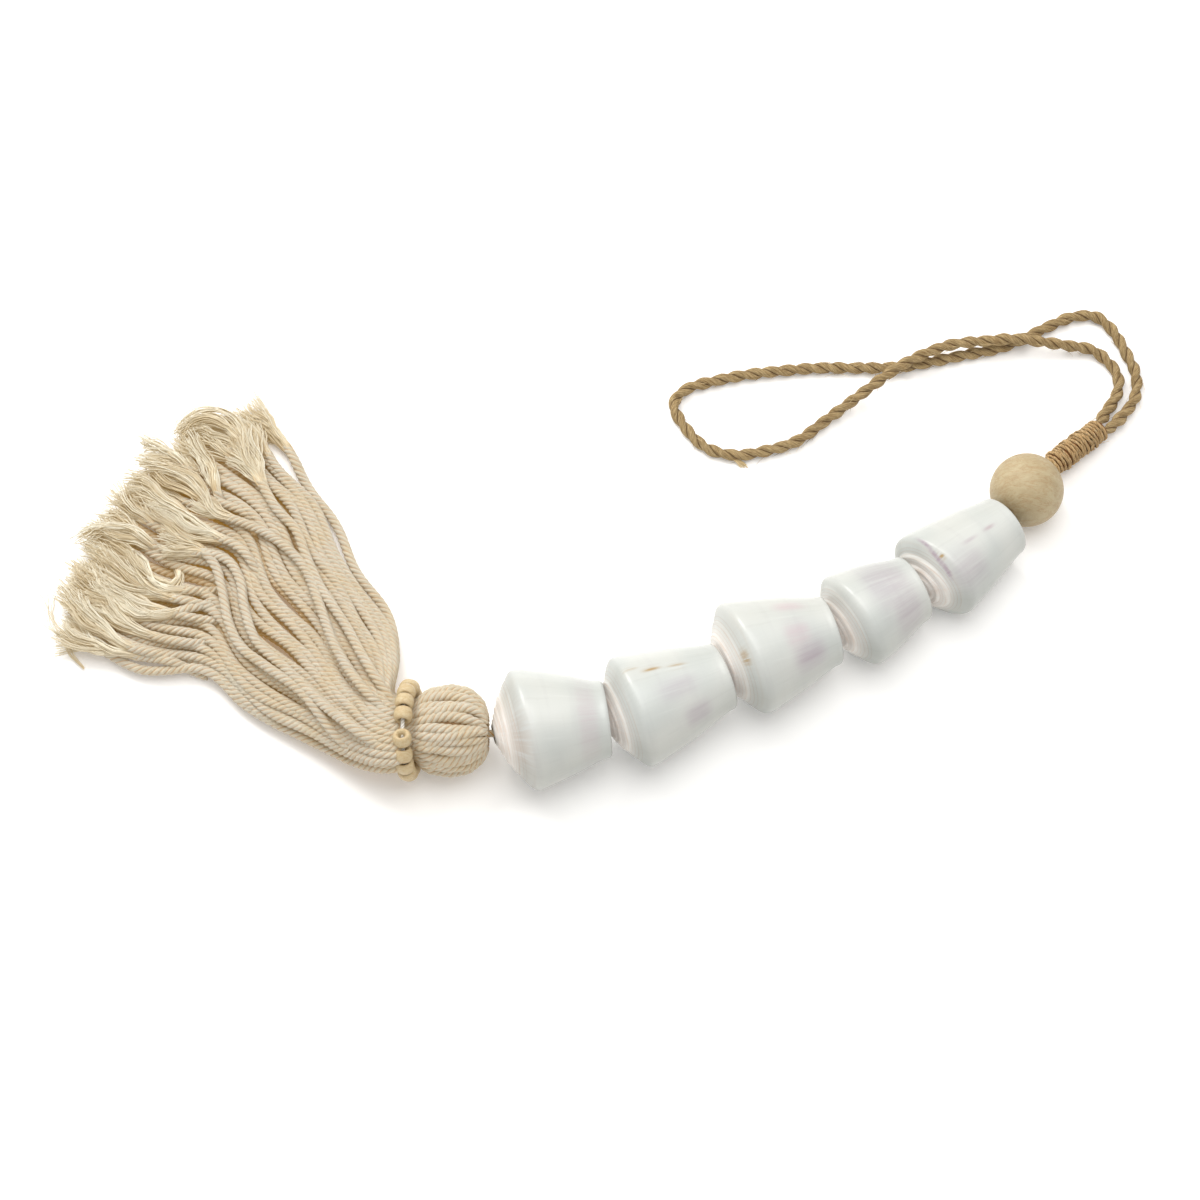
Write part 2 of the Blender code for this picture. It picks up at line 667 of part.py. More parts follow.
def main():
    """Build every piece."""
    for obj in list(bpy.data.objects):
        bpy.data.objects.remove(obj)
    shell_mat = material("shell", (0.86, 0.85, 0.83), 0.2)
    cotton_mat = material("cotton", (0.82, 0.74, 0.60), 0.9)
    rope_mat = material("seagrass", (0.40, 0.29, 0.17), 0.8)
    twine_mat = material("twine", (0.55, 0.33, 0.14), 0.75)
    wood_mat = material("bead_wood", (0.66, 0.52, 0.34), 0.6)
    small_mat = material("small_bead_wood", (0.68, 0.48, 0.26), 0.6)
    string_mat = material("string", (0.85, 0.84, 0.80), 0.8)
    made, way = make_shells(shell_mat)
    bead, bead_way = make_bead(wood_mat)
    make_whipping(twine_mat)
    make_rope(rope_mat)
    head, mouth = make_head(cotton_mat)
    fuse(head, make_strands(cotton_mat))
    make_neck(small_mat, string_mat)
    start = np.array(WHIP_START)
    along = unit(np.array(WHIP_END) - start)
    route = [mouth - np.array((HEAD_SOCKET[1] - 1.5, 0.0, 0.0)), mouth - np.array((1.0, 0.0, 0.0))]
    route += way + bead_way + [start - along * 1.5, start + along * 9.0]
    tube("core_cord", route, CORD_R, 8, string_mat)
    for obj in bpy.context.scene.objects:
        face_outward(obj)
    settle()


main()
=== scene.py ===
"""Shell tassel, dressed for its picture.

Sizes in the tables are millimetres.  Places are read in the layout grid (u right,
v down) of the picture, put on the table by spot() and then moved into the frame.
"""
import math
import bpy
import numpy as np
from bpy.props import FloatProperty, FloatVectorProperty, IntProperty, PointerProperty
from bpy.types import Operator, Panel, PropertyGroup
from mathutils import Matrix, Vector


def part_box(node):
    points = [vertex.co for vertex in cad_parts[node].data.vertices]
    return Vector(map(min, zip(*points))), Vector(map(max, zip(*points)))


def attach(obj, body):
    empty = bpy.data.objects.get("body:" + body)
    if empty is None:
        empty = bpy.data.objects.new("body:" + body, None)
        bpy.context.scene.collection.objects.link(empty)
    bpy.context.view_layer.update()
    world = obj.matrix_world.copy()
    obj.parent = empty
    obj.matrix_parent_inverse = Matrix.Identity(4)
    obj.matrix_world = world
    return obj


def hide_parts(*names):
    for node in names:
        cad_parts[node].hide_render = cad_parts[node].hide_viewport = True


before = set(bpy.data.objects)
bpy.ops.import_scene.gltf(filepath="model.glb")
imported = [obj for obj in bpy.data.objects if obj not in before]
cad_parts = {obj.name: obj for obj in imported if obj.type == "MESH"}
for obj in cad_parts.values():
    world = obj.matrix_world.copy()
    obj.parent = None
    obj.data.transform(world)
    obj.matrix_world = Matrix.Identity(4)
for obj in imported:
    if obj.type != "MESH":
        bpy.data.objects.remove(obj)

bl_info = {
    "name": "Shell tassel",
    "version": (1, 0, 0),
    "blender": (4, 5, 0),
    "location": "View3D > Sidebar > Tassel",
    "description": "Rope tassel with shells, beads and a rope loop",
    "category": "Add Mesh",
}

MM = 0.001

# layout grid
GRID_MM = 0.41
GRID_MIDDLE = 600.0
GRID_TILT = math.radians(64.0)
GRID_FAR = 1450.0

# samples between two points of a curve, before they are made even
CURVE_SPLIT = 24

# lays of the cords: sides of the section, plies, depth of the seams
COTTON_LAY = (16, 4, 0.21)
GRASS_LAY = (28, 2, 0.46)
CORE_LAY = (12, 3, 0.22)
STRING_LAY = (12, 3, 0.20)
RAFFIA_LAY = (12, 2, 0.30)
FIBRE_LAY = (3, 0, 0.0)

# cord the pieces are strung on
CORD_R = 1.6
CORD_PITCH = 7.0
BORE_R = 3.6

# tassel ropes
ROPE_STEP = 1.0
ROPES_A_LAYER = 11
FRAY_LENGTH = 20.0
FRAY_WIDTH = 8.0
LOCKS = 5
# a tuft up to this width is bare threads
THREAD_TUFT = 2.0

SHELLS = (
    # shoulder x, y, radius; narrow end x, y, z, radius; lean of the shoulder
    (-30.0, -69.0, 24.3, 2.6, -64.0, 24.0, 15.5, 5.5),
    (12.5, -60.7, 23.0, 49.2, -44.3, 22.7, 14.0, -1.0),
    (57.5, -37.6, 23.8, 92.5, -24.5, 23.5, 14.5, 5.5),
    (101.6, -19.1, 20.4, 127.0, -4.0, 20.1, 14.2, 5.0),
    (135.5, 1.3, 20.1, 165.5, 26.0, 17.0, 13.1, 9.0),
)
# depth of the worn flat that shells and bead rest on
WORN = 0.3
# share of its radius at which a faceted shoulder rests
REST_SHARE = math.cos(math.pi / 18)
SHELL_SIDES = 96
# radius of one turn of the spire by the turn before it, and how far each shell's spire is stepped
WHORL = 0.73
STEPPED = (0.5, 0.5, 0.4, 0.4, 1.0)
# shares of a whorl that climb and fall
WHORL_CLIMB = 0.84
WHORL_FALL = 0.16
# slit along the underside
SLIT_TURN = 4.05
SLIT_WIDTH = 0.085
SLIT_DEPTH = 1.7

BEAD_R = 15.0
BEAD_AT = (176.5, 42.6, 15.0)
BEAD_HEADING = math.radians(54.5)
BEAD_SLOPE = math.radians(-11.0)
BEAD_HOLE = 2.0
BEAD_FULLER = 0.2
BEAD_SIDES = 72

WHIP_START = (188.4, 59.1, 7.6)
WHIP_END = (209.5, 77.5, 5.0)
WHIP_WIDE = (5.3, 4.5)
WHIP_HIGH = (5.0, 4.2)
WHIP_FULLER = 0.35
WHIP_PITCH = 6.5
WHIP_STEPS = 36
WHIP_SIDES = 32

ROPE_R = 2.7
TAIL_R = 1.7
TAIL_SIDE = 1.95
TAIL_DEPTH = 10.0
ROPE_ROUTE = (
    (1107, 411, 3.6), (1115, 399, 2.9), (1119, 386, 2.75), (1116, 372, 2.75),
    (1107, 361, 2.75), (1092, 350, 3.4), (1070, 346, 4.8), (1042, 342, 7.3),
    (1015, 339, 8.7), (985, 341, 8.6), (950, 345, 8.4), (920, 356, 8.6),
    (897, 368, 8.7), (872, 386, 7.5), (848, 404, 4.8), (825, 421, 3.2),
    (797, 441, 2.75), (765, 451, 2.75), (735, 455, 2.75), (707, 448, 2.75),
    (685, 427, 2.75), (674, 404, 2.75), (687, 389, 2.75), (715, 381, 2.75),
    (745, 375, 2.75), (780, 371, 2.75), (820, 368, 2.75), (860, 368, 2.75),
    (900, 367, 2.75), (935, 361, 2.75), (970, 354, 2.75), (1000, 348, 2.75),
    (1025, 338, 2.75), (1050, 326, 2.75), (1073, 317, 2.75), (1096, 317, 2.75),
    (1112, 330, 2.75), (1126, 353, 2.75), (1136, 375, 2.75), (1135, 398, 2.9),
    (1126, 412, 3.6),
)

NECK_AT = (-75.8, -67.0, 19.6)
NECK_LEAN = math.radians(6.0)
HEAD = (
    # along, half width, half height, centre y, centre z, lean, squareness
    (-9.8, 15.8, 13.4, -0.6, 0.8, 0.8, 2.8),
    (-8.8, 17.2, 14.8, -0.6, 0.8, 0.8, 2.8),
    (-5.4, 16.8, 14.2, -0.4, 0.6, 0.9, 2.6),
    (-4.4, 12.5, 11.9, 0.0, 0.0, 1.0, 2.2),
    (4.4, 12.5, 11.9, 0.0, 0.0, 1.0, 2.2),
    (5.4, 15.3, 14.6, 0.0, -0.4, 0.9, 2.2),
    (9.0, 17.6, 17.0, 0.3, -1.2, 0.6, 2.1),
    (16.5, 19.0, 18.4, 0.8, -2.0, 0.2, 2.1),
    (23.5, 17.6, 17.6, 0.6, -1.6, 0.0, 2.1),
    (28.3, 13.6, 13.8, -0.4, 0.2, 0.0, 2.1),
    (30.9, 8.6, 8.8, -2.4, 2.4, 0.0, 2.0),
    (31.7, 3.4, 3.4, -3.2, 3.4, 0.0, 2.0),
)
SOCKET_DEPTH = 14.0

NECK_BEADS = 17
NECK_BEAD_R = 3.8
NECK_BEAD_PITCH = 5.8
NECK_RING = (16.9, 15.95)
NECK_OPEN = math.radians(109.0)
NECK_BEAD_HOLE = 1.1
NECK_BEAD_HALF = 2.75
NECK_STRING_R = 0.85
NECK_STRING_PITCH = 4.0
STRING_SAMPLES = 120
RING_SAMPLES = 720

TABLE_HALF = 1600.0
STAINS = ("purple", "rose", "rust")

# levels of the skirt's rope centres on each ring of the fan
RING_LEVELS = (
    # low at the sides, low in the middle, high at the sides, high in the middle
    (17.0, 8.5, 22.0, 31.0),
    (14.0, 6.5, 20.0, 30.5),
    (5.0, 2.3, 12.0, 22.0),
    (2.3, 2.3, 8.0, 15.0),
    (2.3, 2.3, 6.8, 11.0),
    (2.3, 2.3, 6.0, 8.8),
    (2.3, 2.3, 5.2, 7.0),
    (2.3, 2.3, 4.6, 6.0),
)
FAN = (
    ((402, 700), (391, 694), (395, 656), (385, 612), (354, 560), (318, 502), (294, 453), (256, 423)),
    ((402, 708), (385, 702), (380, 661), (365, 608), (333, 556), (302, 502), (265, 457), (218, 422)),
    ((402, 717), (379, 710), (364, 672), (342, 617), (312, 564), (276, 512), (235, 468), (178, 438)),
    ((402, 727), (376, 721), (350, 688), (316, 632), (286, 580), (254, 529), (211, 492), (144, 470)),
    ((402, 737), (376, 733), (342, 705), (296, 652), (258, 600), (231, 558), (188, 530), (112, 498)),
    ((402, 747), (377, 745), (341, 724), (286, 680), (240, 632), (213, 592), (156, 562), (86, 533)),
    ((402, 757), (380, 757), (343, 744), (290, 712), (236, 672), (199, 639), (136, 618), (68, 587)),
    ((402, 767), (385, 769), (350, 761), (300, 734), (243, 706), (199, 672), (132, 665), (64, 637)),
)
LAYERS = (
    # first and last place, height shares at the neck, half way and at the end, ring share in the neck
    (0.000, 0.909, 0.00, 0.52, 0.00, 1.00),
    (0.045, 0.955, 0.30, 0.60, 0.10, 0.60),
    (0.023, 0.932, 0.74, 1.00, 1.00, 0.62),
    (0.068, 1.000, 1.00, 1.00, 1.00, 1.00),
)
# free strip beside the outermost rope, on each ring
APART = (0.0, 0.0, 0.0, 0.045, 0.11, 0.045, 0.10, 0.03)

# loose curls and tufts that lie on the skirt: fray width, share that is still rope,
# whether the fray closes again like a leaf, and its way from the pile outward
TUFTS = (
    (9.0, 0.42, 1, ((266, 486), (251, 458), (236, 437), (214, 422), (190, 425), (176, 435))),
    (8.0, 0.30, 0, ((228, 512), (220, 498), (211, 472), (198, 451), (186, 438))),
    (9.0, 0.30, 1, ((226, 512), (211, 500), (186, 482), (162, 469), (141, 467))),
    (7.0, 0.35, 0, ((208, 478), (192, 470), (176, 460), (158, 455), (143, 458))),
    (8.5, 0.42, 1, ((264, 590), (260, 577), (249, 557), (232, 542), (211, 535), (192, 528), (171, 515),
                    (152, 503), (136, 488))),
    (7.0, 0.28, 1, ((174, 556), (158, 546), (131, 535), (106, 532), (80, 540))),
    (6.0, 0.86, 0, ((350, 742), (330, 725), (300, 690), (265, 665), (240, 645), (228, 620), (222, 590),
                    (215, 565), (200, 548), (180, 540), (162, 531))),
    (7.0, 0.88, 0, ((404, 720), (367, 693), (337, 650), (318, 600), (304, 566), (284, 545), (262, 530),
                    (238, 520), (214, 512), (196, 498))),
    (7.0, 0.86, 0, ((402, 710), (372, 672), (344, 622), (322, 590), (306, 556), (296, 530), (276, 508),
                    (262, 484), (248, 462), (232, 446))),
    (6.0, 0.90, 0, ((404, 750), (364, 736), (326, 706), (286, 668), (256, 640), (244, 606), (240, 580),
                    (228, 560), (206, 552), (184, 552), (164, 546))),
    (3.5, 0.10, 1, ((170, 552), (176, 563), (178, 577), (171, 588), (157, 583), (143, 568), (128, 552),
                    (114, 544))),
    (9.0, 0.32, 0, ((232, 590), (217, 595), (192, 606), (155, 615), (128, 608), (106, 589), (91, 571),
                    (80, 558))),
    (7.0, 0.35, 0, ((226, 580), (205, 586), (180, 590), (155, 588), (132, 575), (112, 560))),
    (7.0, 0.40, 0, ((196, 650), (160, 652), (128, 645), (100, 628), (80, 606), (65, 586))),
    (1.6, 0.10, 0, ((84, 668), (70, 652), (58, 632), (49, 612), (44, 597))),
    (6.0, 0.45, 0, ((206, 668), (172, 662), (140, 657), (112, 652), (82, 642), (60, 626))),
    (7.0, 0.42, 0, ((312, 490), (300, 470), (288, 448), (272, 430), (256, 415), (243, 401))),
    (8.0, 0.40, 0, ((276, 512), (268, 496), (262, 480), (254, 462), (246, 446), (239, 434))),
    (7.0, 0.45, 0, ((222, 630), (190, 640), (156, 636), (126, 623), (105, 606), (90, 588))),
    (8.0, 0.40, 0, ((212, 540), (196, 522), (178, 508), (160, 496), (140, 486), (122, 484))),
    (9.0, 0.40, 0, ((232, 604), (205, 602), (176, 598), (148, 592), (122, 580), (98, 560))),
    (8.0, 0.45, 0, ((228, 612), (200, 616), (170, 612), (142, 604), (116, 594), (88, 582))),
)

# patches of natural colour on the shells, read where they show
SHELL_PATCHES = (
    # shell, u, v, length, width, purple, rose, rust
    (1, 592, 720, 4.0, 18.0, 0.14, 0.22, 0.00),
    (1, 513, 745, 6.0, 12.0, 0.10, 0.10, 0.22),
    (2, 680, 684, 9.0, 4.0, 0.40, 0.00, 0.00),
    (2, 703, 713, 6.0, 4.5, 0.50, 0.05, 0.00),
    (2, 631, 667, 4.0, 0.7, 0.00, 0.00, 0.45),
    (2, 652, 666, 4.5, 0.9, 0.00, 0.00, 0.95),
    (2, 678, 662, 7.0, 0.9, 0.00, 0.00, 0.95),
    (3, 788, 602, 7.0, 2.5, 0.10, 0.55, 0.00),
    (3, 800, 630, 5.5, 5.0, 0.20, 0.40, 0.00),
    (3, 814, 655, 7.0, 6.0, 0.60, 0.12, 0.00),
    (3, 742, 658, 1.6, 3.0, 0.00, 0.00, 0.80),
    (4, 886, 576, 9.0, 13.0, 0.42, 0.05, 0.00),
    (4, 912, 612, 7.0, 12.0, 0.45, 0.05, 0.00),
    (4, 848, 640, 1.2, 5.0, 0.10, 0.00, 0.60),
    (5, 972, 537, 9.0, 0.7, 0.55, 0.10, 0.05),
    (5, 992, 525, 6.0, 0.7, 0.60, 0.25, 0.10),
    (5, 976, 568, 8.0, 8.0, 0.35, 0.05, 0.00),
    (5, 922, 546, 0.5, 4.0, 0.95, 0.20, 0.00),
    (5, 934, 558, 0.6, 4.5, 0.95, 0.10, 0.00),
    (5, 945, 573, 0.6, 4.0, 0.95, 0.10, 0.00),
    (5, 940, 559, 0.8, 1.2, 0.00, 0.00, 1.00),
)


# ---------------------------------------------------------------- places and curves

def spot(u, v, z):
    """Put a layout point on the level z above the table."""
    focus = GRID_FAR / GRID_MM
    right = u - GRID_MIDDLE
    up = GRID_MIDDLE - v
    dx = right
    dy = focus * math.cos(GRID_TILT) + up * math.sin(GRID_TILT)
    dz = -focus * math.sin(GRID_TILT) + up * math.cos(GRID_TILT)
    eye_y = -GRID_FAR * math.cos(GRID_TILT)
    eye_z = GRID_FAR * math.sin(GRID_TILT)
    far = (z - eye_z) / dz
    return np.array((dx * far, eye_y + dy * far, z))


def frame_shift():
    """Step from the layout's place to the frame's, found at the wood bead."""
    low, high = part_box("wood_bead")
    middle = [(low[k] + high[k]) / 2 / MM for k in range(2)]
    return np.array((middle[0] - BEAD_AT[0], middle[1] - BEAD_AT[1], 0.0))


SHIFT = frame_shift()
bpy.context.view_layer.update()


def chance(number, turn):
    """A fixed value from -1 to 1 for a numbered strand."""
    value = math.sin(number * 12.9898 + turn * 78.233) * 43758.5453
    return 2.0 * (value - math.floor(value)) - 1.0


def unit(vector):
    """The vector at length one."""
    return vector / np.linalg.norm(vector)


def smooth(t):
    """Ease from 0 to 1."""
    t = np.clip(t, 0.0, 1.0)
    return t * t * (3 - 2 * t)


def run_along(points):
    """Distance along a row of points."""
    points = np.asarray(points, float)
    return np.concatenate(([0.0], np.cumsum(np.linalg.norm(np.diff(points, axis=0), axis=1))))


def curve(points, step):
    """Even samples of a smooth curve through the points."""
    pts = np.asarray(points, float)
    padded = np.vstack((2 * pts[0] - pts[1], pts, 2 * pts[-1] - pts[-2]))
    fine = []
    for k in range(len(pts) - 1):
        p0, p1, p2, p3 = padded[k:k + 4]
        t1 = math.sqrt(np.linalg.norm(p1 - p0)) or 1.0
        t2 = t1 + (math.sqrt(np.linalg.norm(p2 - p1)) or 1.0)
        t3 = t2 + (math.sqrt(np.linalg.norm(p3 - p2)) or 1.0)
        t = np.linspace(t1, t2, CURVE_SPLIT, endpoint=False)[:, None]
        a1 = p0 * (t1 - t) / t1 + p1 * t / t1
        a2 = p1 * (t2 - t) / (t2 - t1) + p2 * (t - t1) / (t2 - t1)
        a3 = p2 * (t3 - t) / (t3 - t2) + p3 * (t - t2) / (t3 - t2)
        b1 = a1 * (t2 - t) / t2 + a2 * t / t2
        b2 = a2 * (t3 - t) / (t3 - t1) + a3 * (t - t1) / (t3 - t1)
        fine.append(b1 * (t2 - t) / (t2 - t1) + b2 * (t - t1) / (t2 - t1))
    fine = np.vstack(fine + [pts[-1:]])
    run = run_along(fine)
    count = max(2, int(round(run[-1] / step)) + 1)
    even = np.linspace(0.0, run[-1], count)
    return np.stack([np.interp(even, run, fine[:, k]) for k in range(fine.shape[1])], axis=1)


def axis_frame(axis):
    """Two vectors square to an axis: level side and upward."""
    side = unit(np.cross((0.0, 0.0, 1.0), axis))
    return side, np.cross(axis, side)


def lean_frame(lean):
    """Side and rise of the head's sections at a lean."""
    across = np.array((0.0, -math.cos(GRID_TILT), math.sin(GRID_TILT)))
    axis = unit(np.array((1.0, 0.0, 0.0)) + across * math.tan(lean))
    side = unit(np.array((0.0, 1.0, 0.0)) - axis * axis[1])
    return side, np.cross(axis, side)


def oval(turn, wide, high, power):
    """A point on a squared oval."""
    c = math.cos(turn)
    s = math.sin(turn)
    return (wide * math.copysign(abs(c) ** (2 / power), c), high * math.copysign(abs(s) ** (2 / power), s))


def full_turn(count):
    """Even turns once round."""
    return 2 * np.pi * np.arange(count) / count


def round_ring(centre, side, rise, wide, high, turns):
    """Oval ring of points about a centre, or with a centre of its own for each point."""
    return centre + np.outer(wide * np.cos(turns), side) + np.outer(high * np.sin(turns), rise)


# ---------------------------------------------------------------- node building

class Wire:
    """An output of a node; arithmetic on it adds Math nodes."""

    def __init__(self, nodes, socket):
        self.nodes = nodes
        self.socket = socket

    def maths(self, operation, *values):
        return self.nodes.add("ShaderNodeMath", {"operation": operation}, dict(enumerate(values)))

    def __add__(self, other):
        return self.maths("ADD", self, other)

    def __radd__(self, other):
        return self.maths("ADD", other, self)

    def __sub__(self, other):
        return self.maths("SUBTRACT", self, other)

    def __rsub__(self, other):
        return self.maths("SUBTRACT", other, self)

    def __mul__(self, other):
        return self.maths("MULTIPLY", self, other)

    def __rmul__(self, other):
        return self.maths("MULTIPLY", other, self)

    def __truediv__(self, other):
        return self.maths("DIVIDE", self, other)

    def lower(self, other):
        return self.maths("MINIMUM", self, other)

    def higher(self, other):
        return self.maths("MAXIMUM", self, other)

    def size(self):
        return self.maths("ABSOLUTE", self)

    def wave(self):
        return self.maths("COSINE", self)

    def rest_of(self):
        return self.maths("FRACT", self)

    def ease(self, start, end):
        """0 at start to 1 at end, softly."""
        return self.nodes.add("ShaderNodeMapRange", {"interpolation_type": "SMOOTHSTEP"},
                              {0: self, 1: start, 2: end})


class Nodes:
    """A node tree being built."""

    def __init__(self, tree):
        self.tree = tree

    def add(self, kind, settings=None, sockets=None, out=0):
        """Add a node: its settings first, then the values or links of its sockets."""
        made = self.tree.nodes.new(kind)
        for name, value in (settings or {}).items():
            setattr(made, name, value)
        for where, value in (sockets or {}).items():
            self.feed(made.inputs[where], value)
        return Wire(self, made.outputs[out]) if len(made.outputs) else None

    def feed(self, socket, value):
        """Link a wire to a socket, or set its value."""
        if isinstance(value, Wire):
            self.tree.links.new(value.socket, socket)
        elif socket.type == "RGBA" and len(value) == 3:
            socket.default_value = (*value, 1.0)
        else:
            socket.default_value = value


class Finish(Nodes):
    """A material and the nodes of its pattern."""

    def __init__(self, name, **fixed):
        self.material = bpy.data.materials.new(name)
        self.material.use_nodes = True
        super().__init__(self.material.node_tree)
        self.shader = self.tree.nodes["Principled BSDF"]
        for label, value in fixed.items():
            self.feed(self.shader.inputs[label.replace("_", " ").title().replace("Ior", "IOR")], value)
        if "emission_strength" in fixed:
            self.material.cycles.emission_sampling = "NONE"

    def give(self, label, wire):
        """Feed a varying value to the shader."""
        self.feed(self.shader.inputs[label], wire)

    def attribute(self, name, out="Fac"):
        return self.add("ShaderNodeAttribute", {"attribute_name": name}, out=out)

    def attributes(self, *names):
        return [self.attribute(name) for name in names]

    def parts(self, vector):
        """The three numbers of a vector."""
        split = self.add("ShaderNodeSeparateXYZ", sockets={0: vector})
        return [Wire(self, socket) for socket in split.socket.node.outputs]

    def vector(self, x, y, z):
        return self.add("ShaderNodeCombineXYZ", sockets={0: x, 1: y, 2: z})

    def lane(self, across, along, shift=0.0):
        """Place in a pattern that runs along a cord."""
        x, y, _ = self.parts(self.attribute("around", out="Vector"))
        return self.vector(x * across + shift, y * across, self.attribute("run") * along)

    def place(self):
        """Object coordinates in millimetres."""
        at = self.add("ShaderNodeTexCoord", out="Object")
        return self.add("ShaderNodeVectorMath", {"operation": "SCALE"}, {0: at, "Scale": 1000.0})

    def noise(self, vector, scale, detail=3.0, roughness=0.55, distortion=0.0):
        return self.add("ShaderNodeTexNoise", None, {"Vector": vector, "Scale": scale, "Detail": detail,
                                                     "Roughness": roughness, "Distortion": distortion})

    def blend(self, factor, first, second):
        """Colour between two colours."""
        return self.add("ShaderNodeMix", {"data_type": "RGBA"}, {0: factor, 6: first, 7: second}, out=2)

    def multiply(self, factor, first, second):
        """One colour multiplied by another."""
        return self.add("ShaderNodeMix", {"data_type": "RGBA", "blend_type": "MULTIPLY"},
                        {0: factor, 6: first, 7: second}, out=2)

    def relief(self, height, depth):
        """Bump of a depth in metres."""
        bump = self.add("ShaderNodeBump", None, {"Strength": 1.0, "Distance": depth, "Height": height})
        self.give("Normal", bump)


def tone(red, green, blue):
    """A display colour as linear values."""
    return tuple(((c / 255 + 0.055) / 1.055) ** 2.4 if c > 10 else c / 255 / 12.92
                 for c in (red, green, blue))


# ---------------------------------------------------------------- mesh making

def make_mesh(name, points, faces, edges=(), numbers=None, vectors=None):
    """A mesh from points in millimetres in the layout, with its attributes."""
    mesh = bpy.data.meshes.new(name)
    placed = (np.asarray(points, float) + SHIFT) * MM
    mesh.from_pydata(placed.tolist(), edges, faces)
    for label, values in (numbers or {}).items():
        layer = mesh.attributes.new(label, "FLOAT", "POINT")
        layer.data.foreach_set("value", np.asarray(values, np.float32))
    for label, values in (vectors or {}).items():
        layer = mesh.attributes.new(label, "FLOAT_VECTOR", "POINT")
        layer.data.foreach_set("vector", np.asarray(values, np.float32).ravel())
    mesh.update()
    return mesh


def show(mesh, finish=None):
    """An object for a mesh, with its name."""
    obj = bpy.data.objects.new(mesh.name, mesh)
    bpy.context.scene.collection.objects.link(obj)
    if finish is not None:
        mesh.materials.append(finish)
        mesh.polygons.foreach_set("use_smooth", [True] * len(mesh.polygons))
    return obj


def finish_piece(obj, slot, *nodes):
    """Fix a piece to the frame's root body and hide the nodes it stands for; slot is not used."""
    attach(obj, "root")
    if nodes:
        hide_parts(*nodes)
    return obj


def skin(rings, closed_run=False):
    """Points and faces between rings, facing outward; a run that isn't closed has its ends filled."""
    count = len(rings[0])
    points = np.vstack(rings)
    faces = []
    spans = len(rings) if closed_run else len(rings) - 1
    for k in range(spans):
        here = k * count
        there = ((k + 1) % len(rings)) * count
        for j in range(count):
            n = (j + 1) % count
            faces.append((here + j, here + n, there + n, there + j))
    if not closed_run:
        faces.append(tuple(range(count - 1, -1, -1)))
        last = (len(rings) - 1) * count
        faces.append(tuple(last + j for j in range(count)))
    return points, faces


def new_tree(name, inputs):
    """A geometry tree with named inputs, its Nodes and the wires of its inputs."""
    tree = bpy.data.node_groups.new(name, "GeometryNodeTree")
    tree.is_modifier = True
    tree.interface.new_socket("Guides", in_out="INPUT", socket_type="NodeSocketGeometry")
    tree.interface.new_socket("Result", in_out="OUTPUT", socket_type="NodeSocketGeometry")
    for label, kind in inputs:
        tree.interface.new_socket(label, in_out="INPUT", socket_type=kind)
    nodes = Nodes(tree)
    source = nodes.add("NodeGroupInput").socket.node
    wires = {socket.name: Wire(nodes, socket) for socket in source.outputs if socket.name}
    return nodes, wires


def end_tree(nodes, geometry, finish):
    """Realize, set the material and end a geometry tree."""
    real = nodes.add("GeometryNodeRealizeInstances", None, {0: geometry})
    done = nodes.add("GeometryNodeSetMaterial", None, {"Geometry": real, "Material": finish})
    nodes.add("NodeGroupOutput", None, {0: done})


def twisted_cord_tree():
    """Tree that lays a twisted cord of several plies along each guide."""
    nodes, wires = new_tree("twisted_cord", (
        ("Sides", "NodeSocketInt"), ("Plies", "NodeSocketFloat"),
        ("Seam Depth", "NodeSocketFloat"), ("Finish", "NodeSocketMaterial")))
    ring = nodes.add("GeometryNodeCurvePrimitiveCircle", None, {"Resolution": wires["Sides"], "Radius": 1.0})
    index = nodes.add("GeometryNodeInputIndex")
    turn = index / wires["Sides"] * (2 * math.pi)
    crown = (turn * wires["Plies"] * 0.5).wave().size()
    reach = 1.0 - wires["Seam Depth"] * (1.0 - crown)
    across = turn.wave()
    upward = (turn - math.pi / 2).wave()
    at = nodes.add("ShaderNodeCombineXYZ", None, {0: across * reach, 1: upward * reach})
    ring = nodes.add("GeometryNodeSetPosition", None, {"Geometry": ring, "Position": at})
    ring = nodes.add("GeometryNodeStoreNamedAttribute", {"data_type": "FLOAT", "domain": "POINT"},
                     {"Geometry": ring, "Name": "crown", "Value": crown})
    around = nodes.add("ShaderNodeCombineXYZ", None, {0: across, 1: upward})
    ring = nodes.add("GeometryNodeStoreNamedAttribute", {"data_type": "FLOAT_VECTOR", "domain": "POINT"},
                     {"Geometry": ring, "Name": "around", "Value": around})
    line = nodes.add("GeometryNodeMeshToCurve", None, {"Mesh": wires["Guides"]})
    thick = nodes.add("GeometryNodeInputNamedAttribute", {"data_type": "FLOAT"}, {"Name": "thick"})
    twist = nodes.add("GeometryNodeInputNamedAttribute", {"data_type": "FLOAT"}, {"Name": "twist"})
    line = nodes.add("GeometryNodeSetCurveTilt", None, {"Curve": line, "Tilt": twist})
    body = nodes.add("GeometryNodeCurveToMesh", None, {"Curve": line, "Profile Curve": ring,
                                                       "Scale": thick, "Fill Caps": True})
    body = nodes.add("GeometryNodeSetShadeSmooth", None, {"Geometry": body, "Shade Smooth": True})
    end_tree(nodes, body, wires["Finish"])
    return nodes.tree


def apply_tree(obj, tree, **values):
    """Run a geometry tree on an object and keep the result as a plain mesh."""
    names = {item.name: item.identifier for item in tree.interface.items_tree if item.item_type == "SOCKET"}
    modifier = obj.modifiers.new(tree.name, "NODES")
    modifier.node_group = tree
    for label, value in values.items():
        modifier[names[label.replace("_", " ").title()]] = value
    view = bpy.context.evaluated_depsgraph_get()
    view.update()
    mesh = bpy.data.meshes.new_from_object(obj.evaluated_get(view))
    obj.modifiers.clear()
    old = obj.data
    obj.data = mesh
    bpy.data.meshes.remove(old)
    mesh.name = obj.name
    return obj


